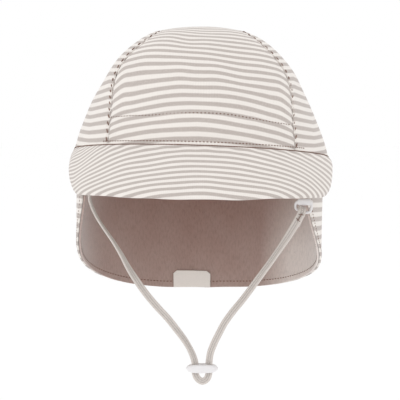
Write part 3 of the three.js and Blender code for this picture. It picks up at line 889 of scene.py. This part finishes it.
def place_group(tree, group, **values):
    """One use of a node group, with its values."""
    made = tree.node("ShaderNodeGroup", node_tree=group)
    for key, value in values.items():
        tree.feed(made.inputs[key.replace("_", " ")], value)
    return made.outputs


def bump(tree, shader, height, distance, strength=1.0):
    """Raise a height on the shader's surface, a distance in metres."""
    made = tree.node("ShaderNodeBump")
    made.inputs["Strength"].default_value = strength
    made.inputs["Distance"].default_value = distance
    tree.feed(made.inputs["Height"], height)
    tree.feed(shader.inputs["Normal"], made.outputs[0])


def cloth_map(tree):
    """Place on the flat cloth."""
    return tree.node("ShaderNodeUVMap", uv_map="cloth").outputs[0]


def tint(tree, shader, colour, shade):
    """Give the shader a colour, darkened by a share that changes over the surface."""
    tree.feed(shader.inputs["Base Color"], tree.mix(shade, (0.0, 0.0, 0.0, 1.0), colour))


def striped_jersey(phase):
    """Striped single jersey, its stripes set off by a share of their pitch."""
    name = "Striped jersey %03d" % round(phase * 100)
    found = bpy.data.materials.get(name)
    if found:
        return found
    sizes, colours = bpy.context.scene.cap_sizes, bpy.context.scene.cap_colours
    material, tree, shader = new_material(name, 0.95, sheen=0.25)
    cloth = cloth_map(tree)
    stripes = place_group(
        tree, stripes_group(), Cloth=cloth, Pitch=sizes.stripe_pitch / MM / CLOTH_UNIT, Phase=phase,
        Dark=(*colours.stripe_dark, 1), Light=(*colours.stripe_light, 1))
    knit = place_group(tree, knit_group(), Cloth=cloth, Wale=sizes.wale_pitch / MM / CLOTH_UNIT)
    tint(tree, shader, stripes["Colour"], knit["Shade"])
    bump(tree, shader, knit["Height"], 0.0001, 0.5)
    return material


@made_once("materials", "Plain jersey")
def plain_jersey(name):
    """Plain mauve jersey of the lining, with painted light that makes it paler towards the front edges and
    low down towards the hem, and a faint random tone.
    """
    sizes, colours = bpy.context.scene.cap_sizes, bpy.context.scene.cap_colours
    material, tree, shader = new_material(name, 0.95, sheen=0.7)
    cloth = cloth_map(tree)
    knit = place_group(tree, knit_group(), Cloth=cloth, Wale=sizes.wale_pitch / MM / CLOTH_UNIT)
    parts = tree.split(cloth)
    # Painted light: masks that pale the lining at its front edges, where light falls on its inner sides, and
    # low down, out of the crown's shade.
    ahead = tree.math("MULTIPLY_ADD", parts[0], 3.2, -1.3, clamp=True)
    ahead = tree.math("MULTIPLY", ahead, tree.math("MULTIPLY_ADD", parts[1], -1.6, -0.12, clamp=True))
    beyond = tree.math("MULTIPLY_ADD", parts[0], -0.5, -0.42, clamp=True)
    low = tree.math("MULTIPLY_ADD", parts[1], -0.3, -0.08, clamp=True)
    cloud = tree.math("MULTIPLY_ADD", tree.noise(cloth, 4.0, 4.0), 0.2, -0.1)
    fade = tree.math("ADD", tree.math("MAXIMUM", ahead, beyond), tree.math("ADD", low, cloud), clamp=True)
    # The painted light, with a faint random tone from the noise, mixes the lining towards its lit colour.
    colour = tree.mix(fade, (*colours.lining, 1), (*colours.lining_lit, 1))
    streak = tree.node("ShaderNodeCombineXYZ")
    tree.feed(streak.inputs[0], tree.math("MULTIPLY", parts[0], 85.0))
    tree.feed(streak.inputs[1], tree.math("MULTIPLY", parts[1], 28.0))
    grain = tree.math("MULTIPLY_ADD", tree.noise(streak.outputs[0], 1.0, 4.0, 0.6), 0.8, 0.6)
    tint(tree, shader, colour, tree.math("MULTIPLY", knit["Shade"], grain))
    bump(tree, shader, knit["Height"], 0.0001, 0.6)
    return material


def label_weave():
    """Cream label, closely woven."""
    colours = bpy.context.scene.cap_colours
    material, tree, shader = new_material("Label weave", 0.7, sheen=0.2, specular=0.35)
    parts = tree.split(cloth_map(tree))
    warp = tree.math("SINE", tree.math("MULTIPLY", parts[0], 2 * math.pi / 0.0045))
    weft = tree.math("SINE", tree.math("MULTIPLY", parts[1], 2 * math.pi / 0.0055))
    height = tree.math("MULTIPLY", warp, weft)
    shade = tree.math("MULTIPLY_ADD", height, 0.06, 0.95)
    tint(tree, shader, (*colours.label, 1), shade)
    bump(tree, shader, height, 0.00006, 0.6)
    return material


@made_once("materials", "Braid")
def braid_finish(name):
    """Pale flat braid."""
    colours = bpy.context.scene.cap_colours
    material, tree, shader = new_material(name, 0.85, sheen=0.2)
    braid = place_group(tree, braid_group(), Cloth=cloth_map(tree), Strand=0.011, Groove=0.006)
    tint(tree, shader, (*colours.braid, 1), braid["Shade"])
    bump(tree, shader, braid["Height"], 0.0002, 0.8)
    return material


@made_once("materials", "Thread")
def thread_finish(name):
    """Reddish brown sewing thread, with its ply."""
    colours = bpy.context.scene.cap_colours
    material, tree, shader = new_material(name, 0.8)
    place = tree.node("ShaderNodeTexCoord").outputs["Object"]
    ply = tree.noise(place, 2500.0, 1.0)
    tint(tree, shader, (*colours.thread, 1), tree.math("MULTIPLY_ADD", ply, 0.2, 0.85))
    bump(tree, shader, ply, 0.00005, 0.5)
    return material


@made_once("materials", "White plastic")
def plastic_finish(name):
    """White moulded plastic, faintly uneven."""
    colours = bpy.context.scene.cap_colours
    material, tree, shader = new_material(name, 0.38, specular=0.5)
    place = tree.node("ShaderNodeTexCoord").outputs["Object"]
    grain = tree.noise(place, 900.0, 3.0)
    tint(tree, shader, (*colours.plastic, 1), tree.math("MULTIPLY_ADD", grain, 0.04, 0.95))
    tree.feed(shader.inputs["Roughness"], tree.math("MULTIPLY_ADD", grain, 0.15, 0.32))
    bump(tree, shader, grain, 0.00004, 0.3)
    return material


class CameraOperator(bpy.types.Operator):
    """Set the camera at the view's angle, as far off as a portrait lens stands"""

    bl_idname = "cap.camera"
    bl_label = "Camera"

    def execute(self, context):
        elevation = math.radians(VIEW_ELEVATION)
        back = Vector((0, -math.cos(elevation), math.sin(elevation)))
        lens = bpy.data.cameras.new("Camera")
        lens.sensor_fit = "HORIZONTAL"
        lens.sensor_width = SENSOR_WIDTH
        lens.lens = SENSOR_WIDTH * VIEW_DISTANCE / VIEW_WIDTH
        lens.clip_end = 20
        camera = bpy.data.objects.new("Camera", lens)
        camera.location = Vector(VIEW_TARGET) + back * VIEW_DISTANCE
        camera.rotation_euler = (math.radians(90) - elevation, 0, 0)
        context.scene.collection.objects.link(camera)
        context.scene.camera = camera
        return {"FINISHED"}


def mould(piece, voxel, rounds):
    """Melt a piece's shells into one skin with soft edges, by voxels in metres."""
    skin = piece.modifiers.new("Skin", "REMESH")
    skin.mode = "VOXEL"
    skin.voxel_size = voxel
    soften = piece.modifiers.new("Soft edges", "SMOOTH")
    soften.factor = 0.5
    soften.iterations = rounds
    apply_modifiers(piece)
    smooth(piece, 80)


def dress(piece, material, node=None):
    """Give a piece its material and slot, let it ride on the cap, and hide the solid that it stands for."""
    piece.data.materials.clear()
    piece.data.materials.append(material)
    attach(piece, "root")
    if node:
        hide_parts(node)


class ChinCordOperator(bpy.types.Operator):
    """Lay the flat braided chin cord along its route through the toggle and round the hook"""

    bl_idname = "cap.chin_cord"
    bl_label = "Chin cord"

    def execute(self, context):
        sizes = context.scene.cap_sizes
        centres = catmull(CORD_ROUTE, CORD_STEPS)
        ahead = unit(np.gradient(centres, axis=0))
        across = [unit(np.cross(ahead[0], (0, 1, 0)))]
        for after in ahead[1:]:
            carried = across[-1] - after * np.dot(across[-1], after)
            across.append(unit(carried))
        across = np.array(across)
        facing = np.cross(across, ahead)
        at = np.arange(len(centres)) / CORD_STEPS
        turn = np.radians(ramp(CORD_LAY, "point", at, "turn"))[:, None]
        share = ramp(CORD_LAY, "point", at, "width")[:, None, None]
        wide = across * np.cos(turn) + facing * np.sin(turn)
        flat = facing * np.cos(turn) - across * np.sin(turn)
        sides = 20
        angle = round_angles(sides)
        bulge = 0.55
        out = swollen(np.cos(angle), bulge)
        up = swollen(np.sin(angle), bulge) * (1 - BRAID_GROOVE * np.exp(-(out / BRAID_GROOVE) ** 2))
        half_wide = sizes.braid_width / MM / 2 * share
        half_high = sizes.braid_height / MM / 2 / share
        points = centres[:, None] + wide[:, None] * out[:, None] * half_wide
        points = points + flat[:, None] * up[:, None] * half_high
        lengths = run_along(centres)
        places = stack(out[None] * half_wide[:, 0], lengths[:, None] + 0 * out[None]).reshape(-1, 2)
        cord = add_mesh("flat_braid", points.reshape(-1, 3) * MM, tube_faces(len(centres), sides), places)
        face_outwards(cord)
        smooth(cord, 70)
        dress(cord, braid_finish(), "chin_cord")
        self.toggle()
        self.end_stitches(centres, wide, flat, sizes.braid_width / MM)
        return {"FINISHED"}

    def end_stitches(self, centres, wide, flat, width):
        """Zigzag row that holds the folded end of the braid."""
        steps = np.arange(*SEWN_END)
        swing = np.where(np.arange(len(steps)) % 2 == 0, -1, 1)[:, None] * SEWN_SHARE * width
        facing = flat[steps] * -np.sign(flat[steps][:, 1:2])
        zigzag = centres[steps] + wide[steps] * swing + facing * SEWN_LIFT
        step = float(np.linalg.norm(zigzag[1] - zigzag[0]))
        return stitch_row("end_stitches", zigzag, facing, step * 0.999, step, 0.4)

    def toggle(self):
        """Cushion-shaped toggle with two soft-rimmed holes."""
        deselect()
        bpy.ops.mesh.primitive_uv_sphere_add(segments=72, ring_count=48, radius=1)
        body = bpy.context.object
        body.name = body.data.name = "toggle_body"
        way = unit(read_points(body.data))
        half = np.array(TOGGLE_SIZE) / 2
        low, high = np.zeros(len(way)), np.full(len(way), 2 * max(half))
        for _ in range(40):
            middle = (low + high) / 2
            inside = np.sum((np.abs(way) * middle[:, None] / half) ** TOGGLE_SWELL, axis=1) < 1
            low, high = np.where(inside, middle, low), np.where(inside, high, middle)
        skin = way * low[:, None]
        skin[:, 0] *= 1 - TOGGLE_TAPER * (np.abs(skin[:, 2]) / half[2]) ** 1.3
        write_points(body.data, (skin + np.array(TOGGLE_PLACE)) * MM)
        for side in (-1, 1):
            deselect()
            place = np.array(TOGGLE_PLACE) + np.array((side * HOLE_SPACING / 2, 0, 0))
            bpy.ops.mesh.primitive_cylinder_add(
                vertices=40, radius=HOLE_BORE / 2 * MM, depth=DRILL_LENGTH * MM, location=tuple(place * MM))
            drill = bpy.context.object
            bpy.ops.object.transform_apply(location=True, rotation=True, scale=True)
            cut = body.modifiers.new("Hole", "BOOLEAN")
            cut.operation = "DIFFERENCE"
            cut.solver = "EXACT"
            cut.object = drill
            apply_modifiers(body)
            bpy.data.objects.remove(drill)
        mould(body, *TOGGLE_SKIN)
        dress(body, plastic_finish(), "toggle")
        return body


def stripe_run(points, form):
    """Cloth coordinate of the crown's centre panel: the run of tilted planes along its centre line."""
    share = np.linspace(-1, 0, 601)
    line = form.crown_point(0 * share, share)
    arc = run_along(line)
    rise = arc / arc[-1]
    tilt = np.radians(ramp(STRIPE_ROWS, "share", rise, "tilt"))
    roll = np.radians(ramp(STRIPE_ROWS, "share", rise, "roll"))
    normal = stack(np.sin(roll), -np.sin(tilt), np.cos(tilt))
    behind = points @ normal[-1] > line[-1] @ normal[-1]
    turned = np.array((-1, -form.front_reach / form.back_reach, 1))
    points = np.where(behind[:, None], points * turned, points)
    found = np.empty(len(points))
    batch = 4000
    for start in range(0, len(points), batch):
        part = points[start:start + batch]
        offset = part @ normal.T - np.sum(line * normal, axis=1)[None]
        offset[:, -1] = np.minimum(offset[:, -1], -1e-6)
        below = np.clip(np.argmax(offset < 0, axis=1), 1, len(share) - 1)
        rows = np.arange(len(part))
        a, b = offset[rows, below - 1], offset[rows, below]
        t = np.minimum(a / np.where(np.abs(a - b) < 1e-9, 1, a - b), 1)
        found[start:start + batch] = arc[below - 1] + t * (arc[below] - arc[below - 1])
    return np.where(behind, 2 * arc[-1] - found, found)


class CrownOperator(bpy.types.Operator):
    """Sew the crown of a centre panel and two arched side panels"""

    bl_idname = "cap.crown"
    bl_label = "Crown"

    def execute(self, context):
        form = CapForm(context.scene.cap_sizes)

        def centre(u, v):
            plan = form.centre_plan(u, v)
            points = form.crown_point(plan[:, 0], plan[:, 1])
            near = np.minimum(u, 1 - u) * form.half_width
            seam = np.exp(-(near / SEAM_SOFT) ** 2)
            beside_seam = form.crown_height * plan[:, 1] * 1.5
            pucker = puckers(near, beside_seam, *CENTRE_PUCKERS)
            band = ramp(BAND_ROWS, "around", np.degrees(np.arctan2(plan[:, 0], -plan[:, 1])), "radius")
            away = (np.hypot(plan[:, 0], plan[:, 1]) - band) / BAND_CREASE[1]
            crease = BAND_CREASE[0] * np.exp(-away**2) * (plan[:, 1] < 0)
            rim = np.minimum(v, 1 - v) * CENTRE_LENGTH
            dents = soft_dents(points, *CENTRE_DENTS) * np.clip(rim / 12, 0, 1)
            lift = dents - SEAM_DIP * seam - crease + pucker * np.clip(rim / 8, 0, 1)
            return points + unit(points) * lift[:, None]

        def centre_cloth(u, v, points):
            plan = form.centre_plan(u, v)
            plain = form.crown_point(plan[:, 0], plan[:, 1])
            run = stripe_run(plain, form)
            for place, start, wide, tall, shift in STRIPE_WANDER:
                bump = np.exp(-((plain[:, 0] - place) / wide) ** 2 - ((run - start) / tall) ** 2)
                run = run - shift * bump
            return stack(plain[:, 0], run)

        panel, area = add_sheet("crown_panel_centre", (96, 250), centre, centre_cloth, CROWN_WALL)
        dress(panel, striped_jersey(CENTRE_PHASE), "crown_centre_panel")
        self.declare(panel, area, 0.115, 0.262)
        for side, hand in ((-1, "left"), (1, "right")):
            panel, area = self.side_panel(form, side, "crown_panel_" + hand)
            dress(panel, striped_jersey(SIDE_PHASE), "crown_side_" + hand)
            self.declare(panel, area, 0.13, 0.1)
        return {"FINISHED"}

    def declare(self, panel, area, width, length):
        """Does nothing with the panel. Declare a panel as a sheet, cut a little larger
        than it lies.
        """

    def side_panel(self, form, side, name):
        """Arched side panel, with its stripes level round it."""
        def surface(u, v):
            plan = form.side_plan(side, u, v)
            points = form.crown_point(plan[:, 0], plan[:, 1])
            near = np.minimum(np.minimum(u, 1 - u) * SIDE_LENGTH, (1 - v) * SIDE_HEIGHT)
            pucker = puckers(near, points[:, 2], *SIDE_PUCKERS)
            seam = np.exp(-(near / SEAM_SOFT) ** 2)
            rim = np.clip(v * SIDE_HEIGHT / 12, 0, 1)
            lift = (soft_dents(points, *SIDE_DENTS) + pucker) * rim - SEAM_DIP * seam
            return points + unit(points) * lift[:, None]

        def cloth(u, v, points):
            share = np.linspace(0, 1, 400)
            line = form.crown_point(side * share, 0 * share)
            arc = run_along(line)
            level = points[:, 2] + side * SIDE_LEAN * points[:, 0]
            heights = line[:, 2] + side * SIDE_LEAN * line[:, 0]
            run = arc[-1] - np.interp(-level, -heights, arc) + np.minimum(level - heights[-1], 0)
            start, pace = SIDE_LAY[side]
            droop = np.clip(np.abs(points[:, 0]) - DROOP_START, *DROOP_LIMITS)
            droop = droop * (DROOP_RATE[0] + DROOP_RATE[1] * run)
            return stack(points[:, 1], (run + droop - start) * pace)

        return add_sheet(name, (110, 90), surface, cloth, CROWN_WALL)


class PeakOperator(bpy.types.Operator):
    """Pad the soft peak and sew it from temple to temple"""

    bl_idname = "cap.peak"
    bl_label = "Peak"

    def execute(self, context):
        form = CapForm(context.scene.cap_sizes)
        rings, size = 181, 64
        limit = PEAK_ROWS["around"][-1]
        turns = np.linspace(-limit, limit, rings)
        around = np.repeat(turns, size)
        point = np.tile(np.linspace(0, PEAK_SECTION["point"][-1], size), rings)
        along = ramp(PEAK_SECTION, "point", point, "along")
        proud = ramp(PEAK_SECTION, "point", point, "proud")
        points = form.peak_point(around, along, proud, 0 * around)
        grid = points.reshape(rings, size, 3)
        steps = np.linalg.norm(np.diff(grid, axis=1), axis=2)
        arc = np.concatenate((np.zeros((rings, 1)), np.cumsum(steps, axis=1)), axis=1)
        beside = run_along(grid[:, 0])
        beside -= beside[rings // 2]
        start, pace, bow = (ramp(PEAK_LAY, "around", turns, key)[:, None] for key in ("start", "pace", "bow"))
        reach = np.clip(arc / np.linalg.norm(form.peak_edge(turns), axis=1)[:, None], 0, 1)
        run = start + pace * arc - bow * (4 * reach * (1 - reach) - 0.55)
        places = stack(beside[:, None] + 0 * run, run).reshape(-1, 2)
        fade = np.clip(along * 4, 0, 1) * np.clip((limit - np.abs(around)) / 20, 0, 1)
        pucker = puckers(along, around, *PEAK_PUCKERS)
        lift = soft_dents(points, *PEAK_DENTS) * fade + pucker * np.clip(along * 20, 0, 1)
        points = form.peak_point(around, along, proud, lift)
        peak = add_mesh("padded_peak", points * MM, tube_faces(rings, size), places)
        face_outwards(peak)
        smooth(peak, 70)
        dress(peak, striped_jersey(SIDE_PHASE), "peak")
        return {"FINISHED"}


class FlapOperator(bpy.types.Operator):
    """Hang the neck flap, striped outside and plain inside"""

    bl_idname = "cap.flap"
    bl_label = "Neck flap"

    def execute(self, context):
        form = CapForm(context.scene.cap_sizes)
        layers = (
            ("flap_striped", "flap_outer", 0.0, OUTER_WALL, "striped_jersey"),
            ("flap_inside", "flap_lining", OUTER_WALL + GAP, LINING_WALL, "plain_jersey"),
        )
        for name, node, depth, wall, slot in layers:
            def surface(u, v, depth=depth):
                place = form.flap_place(u, v)
                return form.flap_point(place[:, 0], place[:, 1], depth + 0 * u)

            def cloth(u, v, points):
                place = form.flap_place(u, v)
                return stack(np.radians(place[:, 0]) * form.half_width, -place[:, 1] * form.flap_drop)

            sheet, area = add_sheet(name, (230, 70), surface, cloth, wall)
            dress(sheet, striped_jersey(FLAP_PHASE) if depth == 0 else plain_jersey(), node)
        return {"FINISHED"}


class LabelOperator(bpy.types.Operator):
    """Sew the bare woven label on the lining at the hem"""

    bl_idname = "cap.label"
    bl_label = "Label"

    def execute(self, context):
        form = CapForm(context.scene.cap_sizes)
        depth = OUTER_WALL + LINING_WALL + 2 * GAP
        reach = form.half_width - CROWN_WALL - depth

        def surface(u, v):
            place = np.degrees((LABEL_SHIFT + LABEL_WIDTH * (u - 0.5)) / reach) - FLAP_SWING
            hem = ramp(HEM_ROWS, "turn", np.abs(place), "drop") - GAP / form.flap_drop
            near = np.minimum(u, 1 - u) * LABEL_WIDTH
            height = LABEL_HEIGHT - np.maximum(0, LABEL_CUT - near) * LABEL_SLOPE
            return form.flap_point(place, hem - height / form.flap_drop * v, depth + 0 * u)

        def cloth(u, v, points):
            return stack(LABEL_WIDTH * u, LABEL_HEIGHT * v)

        label, area = add_sheet("label_patch", (64, 28), surface, cloth, LABEL_WALL, roll=0.2)
        dress(label, label_weave(), "label")
        return {"FINISHED"}


def stitch_shape():
    """One stitch along its first axis at length and thickness one, as points and faces."""
    sides = 6
    profile = ((-0.32, 0.8), (0, 1.0), (0.32, 0.8))
    angle = round_angles(sides)
    points = [(-0.5, 0, 0)]
    for place, thick in profile:
        points += [(place, thick / 2 * math.cos(a), thick / 2 * math.sin(a)) for a in angle]
    points.append((0.5, 0, 0))
    faces = []
    last = len(points) - 1
    for i in range(sides):
        after = (i + 1) % sides
        faces.append((0, 1 + after, 1 + i))
        for ring in range(len(profile) - 1):
            here = 1 + ring * sides
            faces.append((here + i, here + after, here + sides + after, here + sides + i))
        ring = 1 + (len(profile) - 1) * sides
        faces.append((ring + i, ring + after, last))
    return np.array(points), faces


def stitch_row(name, path, facing, pitch, length, thick, slant=0.0):
    """Row of stitches along a path on a surface, all copies of one stitch, in millimetres."""
    shape, shape_faces = stitch_shape()
    run = run_along(path)
    count = int(run[-1] / pitch)
    at = (np.arange(count) + 0.5) * run[-1] / count

    def between(rows):
        return stack(*(np.interp(at, run, rows[:, i]) for i in range(3)))

    middle = between(path)
    up = unit(between(facing))
    ahead = between(np.gradient(path, axis=0))
    ahead = unit(ahead - up * np.sum(ahead * up, axis=1)[:, None])
    beside = np.cross(up, ahead)
    turn = math.radians(slant)
    along = ahead * math.cos(turn) + beside * math.sin(turn)
    across = beside * math.cos(turn) - ahead * math.sin(turn)
    sizes = shape * np.array((length, thick, thick * 0.8))
    points = middle[:, None] + along[:, None] * sizes[None, :, :1] + across[:, None] * sizes[None, :, 1:2]
    points = points + up[:, None] * sizes[None, :, 2:]
    faces = []
    for copy in range(count):
        faces += [tuple(i + copy * len(shape) for i in face) for face in shape_faces]
    row = add_mesh(name, points.reshape(-1, 3) * MM, faces)
    face_outwards(row)
    smooth(row, 60)
    dress(row, thread_finish())
    return row


class StitchingOperator(bpy.types.Operator):
    """Sew the topstitch rows of the crown, the peak's seam and the flap"""

    bl_idname = "cap.stitching"
    bl_label = "Stitching"

    def execute(self, context):
        sizes = context.scene.cap_sizes
        form = CapForm(sizes)
        pitch = sizes.stitch_pitch / MM
        self.crown_row(form, "band_stitches", BAND_ROWS, BAND_SEWING, pitch)
        self.crown_row(form, "rim_stitches", RIM_ROWS, RIM_SEWING, pitch)
        seam = np.linspace(-PEAK_THREAD_END, PEAK_THREAD_END, 300)
        path = form.rim_point(seam, 0 * seam) - np.array((0, 0, GAP / 2))
        path = path + form.rim_outward(seam) * 0.15
        stitch_row("peak_seam_thread", path, form.rim_outward(seam), *PEAK_THREAD)
        for side, name in ((-1, "left_seam_stitches"), (1, "right_seam_stitches")):
            run = np.linspace(-0.99, 0.99, 500)
            plan = form.seam_place(run, side, SEAM_STITCH_OFF / form.half_width)
            path = form.crown_point(plan[:, 0], plan[:, 1])
            up = unit(path)
            sunk = DASH_SINK * np.clip((np.abs(run) - 0.5) / 0.3, 0, 1)[:, None]
            stitch_row(name, path + up * (0.1 - sunk), up, *SEAM_DASHES, slant=-DASH_SLANT * side)
        for layer, depth, way in (("outer", 0.0, 1), ("inner", OUTER_WALL + GAP + LINING_WALL, -1)):
            down = np.linspace(0.06, FLAP_ROW_LOW, 90)
            across = np.linspace(FLAP_ROW_IN, 1 - FLAP_ROW_IN, 400)
            v = np.concatenate((down, np.full(400, FLAP_ROW_LOW), down[::-1]))
            u = np.concatenate((np.full(90, across[0]), across, np.full(90, across[-1])))
            place = form.flap_place(u, v)
            path = form.flap_point(place[:, 0], place[:, 1], depth + 0 * u)
            facing = form.rim_outward(180 - place[:, 0] - FLAP_SWING) * way
            stitch_row("flap_stitches_" + layer, path, facing, pitch, *FLAP_STITCHES)
        return {"FINISHED"}

    def crown_row(self, form, name, rows, sewing, pitch):
        """Row on the crown's front, by its table of the plan's radius and how it is sewn."""
        ends, share, length, proud = sewing
        around = np.linspace(*ends, 200)
        radius = ramp(rows, "around", around, "radius")
        angle = np.radians(around)
        path = form.crown_point(radius * np.sin(angle), -radius * np.cos(angle))
        up = unit(path)
        stitch_row(name, path + up * proud, up, pitch * share, length, TOPSTITCH_THICK)


class FittingsOperator(bpy.types.Operator):
    """Mould the hook and sew its tape"""

    bl_idname = "cap.fittings"
    bl_label = "Hook and tape"

    def execute(self, context):
        form = CapForm(context.scene.cap_sizes)
        self.hook()
        tuck = CROWN_WALL + 2 * GAP + TAPE_WALL / 2 + TAPE_TUCK * WALL_LEAN
        top = form.rim_point(np.array([TAPE_ANGLE]), np.array([tuck]))[0] + np.array((0, 0, TAPE_TUCK))
        foot = np.array(HOOK_PLACE) + np.array((0, 0, HOOK_SLOT / 2 + HOOK_BAR + GAP))
        outward = form.rim_outward(np.array([TAPE_ANGLE]))[0]

        def surface(u, v):
            facing = unit(outward * v[:, None] + np.array((0, 1, 0)) * (v - 1)[:, None])
            width = unit(np.cross((0, 0, 1), facing))
            middle = foot + (top - foot) * v[:, None] + width * (TAPE_WIDTH * (u - 0.5))[:, None]
            return middle + facing * TAPE_WALL / 2

        def cloth(u, v, points):
            return stack(TAPE_WIDTH * (u - 0.5), np.linalg.norm(top - foot) * v)

        tape, _ = add_sheet("hook_loop_tape", (16, 60), surface, cloth, TAPE_WALL, roll=0.3)
        dress(tape, braid_finish(), "hook_tape")
        return {"FINISHED"}

    def hook(self):
        """Moulded hook of a plate, a curled arm and a post that turns into the rod."""
        points, faces = [], []
        for line, thick, deep in HOOK_BARS:
            shell, shell_faces = self.bar(catmull(line, 8), thick, deep)
            faces += [tuple(i + sum(len(part) for part in points) for i in face) for face in shell_faces]
            points.append(shell)
        place = np.vstack(points) + np.array(HOOK_PLACE)
        piece = add_mesh("hook_body", place * MM, faces)
        face_outwards(piece)
        mould(piece, *HOOK_SKIN)
        dress(piece, plastic_finish(), "hook")

    def bar(self, line, thick, deep):
        """Round-ended bar along a line that lies across the view."""
        sides = 24
        angle = round_angles(sides)
        tangent = unit(np.gradient(line, axis=0))
        across = np.cross(tangent, (0, 1, 0))
        out_of_end = np.array(BAR_END_STEPS)[:, None] * thick / 2
        start = line[:1] - tangent[:1] * out_of_end
        end = line[-1:] + tangent[-1:] * out_of_end[::-1]
        share = np.array(BAR_END_SIZES)
        centres = np.vstack((start, line, end))
        wide = np.vstack((np.repeat(across[:1], 3, axis=0), across, np.repeat(across[-1:], 3, axis=0)))
        size = np.concatenate((share, np.ones(len(line)), share[::-1]))[:, None, None]
        out = swollen(np.cos(angle), 0.7)
        back = swollen(np.sin(angle), 0.7)
        ring = wide[:, None] * out[None, :, None] * thick / 2
        ring = ring + np.array((0, 1, 0)) * back[None, :, None] * deep / 2
        shell = centres[:, None] + ring * size
        return shell.reshape(-1, 3), tube_faces(len(centres), sides)


class StageOperator(bpy.types.Operator):
    """Set a plain pale floor and soft studio light"""

    bl_idname = "cap.stage"
    bl_label = "Stage"

    def execute(self, context):
        deselect()
        bpy.ops.mesh.primitive_plane_add(size=12, location=(0, 0, FLOOR_HEIGHT))
        floor = bpy.context.object
        floor.name = "floor"
        material = bpy.data.materials.new("Pale floor")
        material.use_nodes = True
        shader = material.node_tree.nodes["Principled BSDF"]
        shader.inputs["Base Color"].default_value = (1.0, 1.0, 1.0, 1)
        shader.inputs["Roughness"].default_value = 0.9
        floor.data.materials.append(material)
        world = bpy.data.worlds.new("Studio")
        world.use_nodes = True
        world.node_tree.nodes["Background"].inputs[0].default_value = (1, 1, 1, 1)
        world.node_tree.nodes["Background"].inputs[1].default_value = 1.0
        context.scene.world = world
        context.scene.view_settings.view_transform = "Standard"
        for name, place, size, power in LIGHTS:
            lamp = bpy.data.lights.new(name, "AREA")
            lamp.size = size
            lamp.energy = power
            holder = bpy.data.objects.new(name, lamp)
            holder.location = place
            way = Vector(LIT_POINT) - Vector(place)
            holder.rotation_euler = way.to_track_quat("-Z", "Y").to_euler()
            context.scene.collection.objects.link(holder)
        return {"FINISHED"}


OPERATORS = (
    CameraOperator, ChinCordOperator, CrownOperator, PeakOperator, FlapOperator, LabelOperator,
    StitchingOperator, FittingsOperator, StageOperator,
)


class CapPanel(bpy.types.Panel):
    """Sidebar panel with the cap's sizes, colours and pieces"""

    bl_idname = "VIEW3D_PT_legionnaire_cap"
    bl_label = "Legionnaire cap"
    bl_space_type = "VIEW_3D"
    bl_region_type = "UI"
    bl_category = "Cap"

    def draw(self, context):
        layout = self.layout
        for group in (context.scene.cap_sizes, context.scene.cap_colours):
            column = layout.column(align=True)
            for key in group.__annotations__:
                column.prop(group, key)
        column = layout.column(align=True)
        for operator in OPERATORS:
            column.operator(operator.bl_idname)


CLASSES = (CapSizes, CapColours, *OPERATORS, CapPanel)


def register():
    """Register the classes and keep the sizes and colours on the scene."""
    for cls in CLASSES:
        bpy.utils.register_class(cls)
    bpy.types.Scene.cap_sizes = PointerProperty(type=CapSizes)
    bpy.types.Scene.cap_colours = PointerProperty(type=CapColours)


def unregister():
    """Take back what register did."""
    del bpy.types.Scene.cap_colours
    del bpy.types.Scene.cap_sizes
    for cls in reversed(CLASSES):
        bpy.utils.unregister_class(cls)


def main():
    """Make the cap and its stage."""
    register()
    bpy.ops.cap.camera()
    bpy.ops.cap.chin_cord()
    bpy.ops.cap.crown()
    bpy.ops.cap.peak()
    bpy.ops.cap.flap()
    bpy.ops.cap.label()
    bpy.ops.cap.stitching()
    bpy.ops.cap.fittings()
    bpy.ops.cap.stage()


if __name__ == "__main__":
    main()
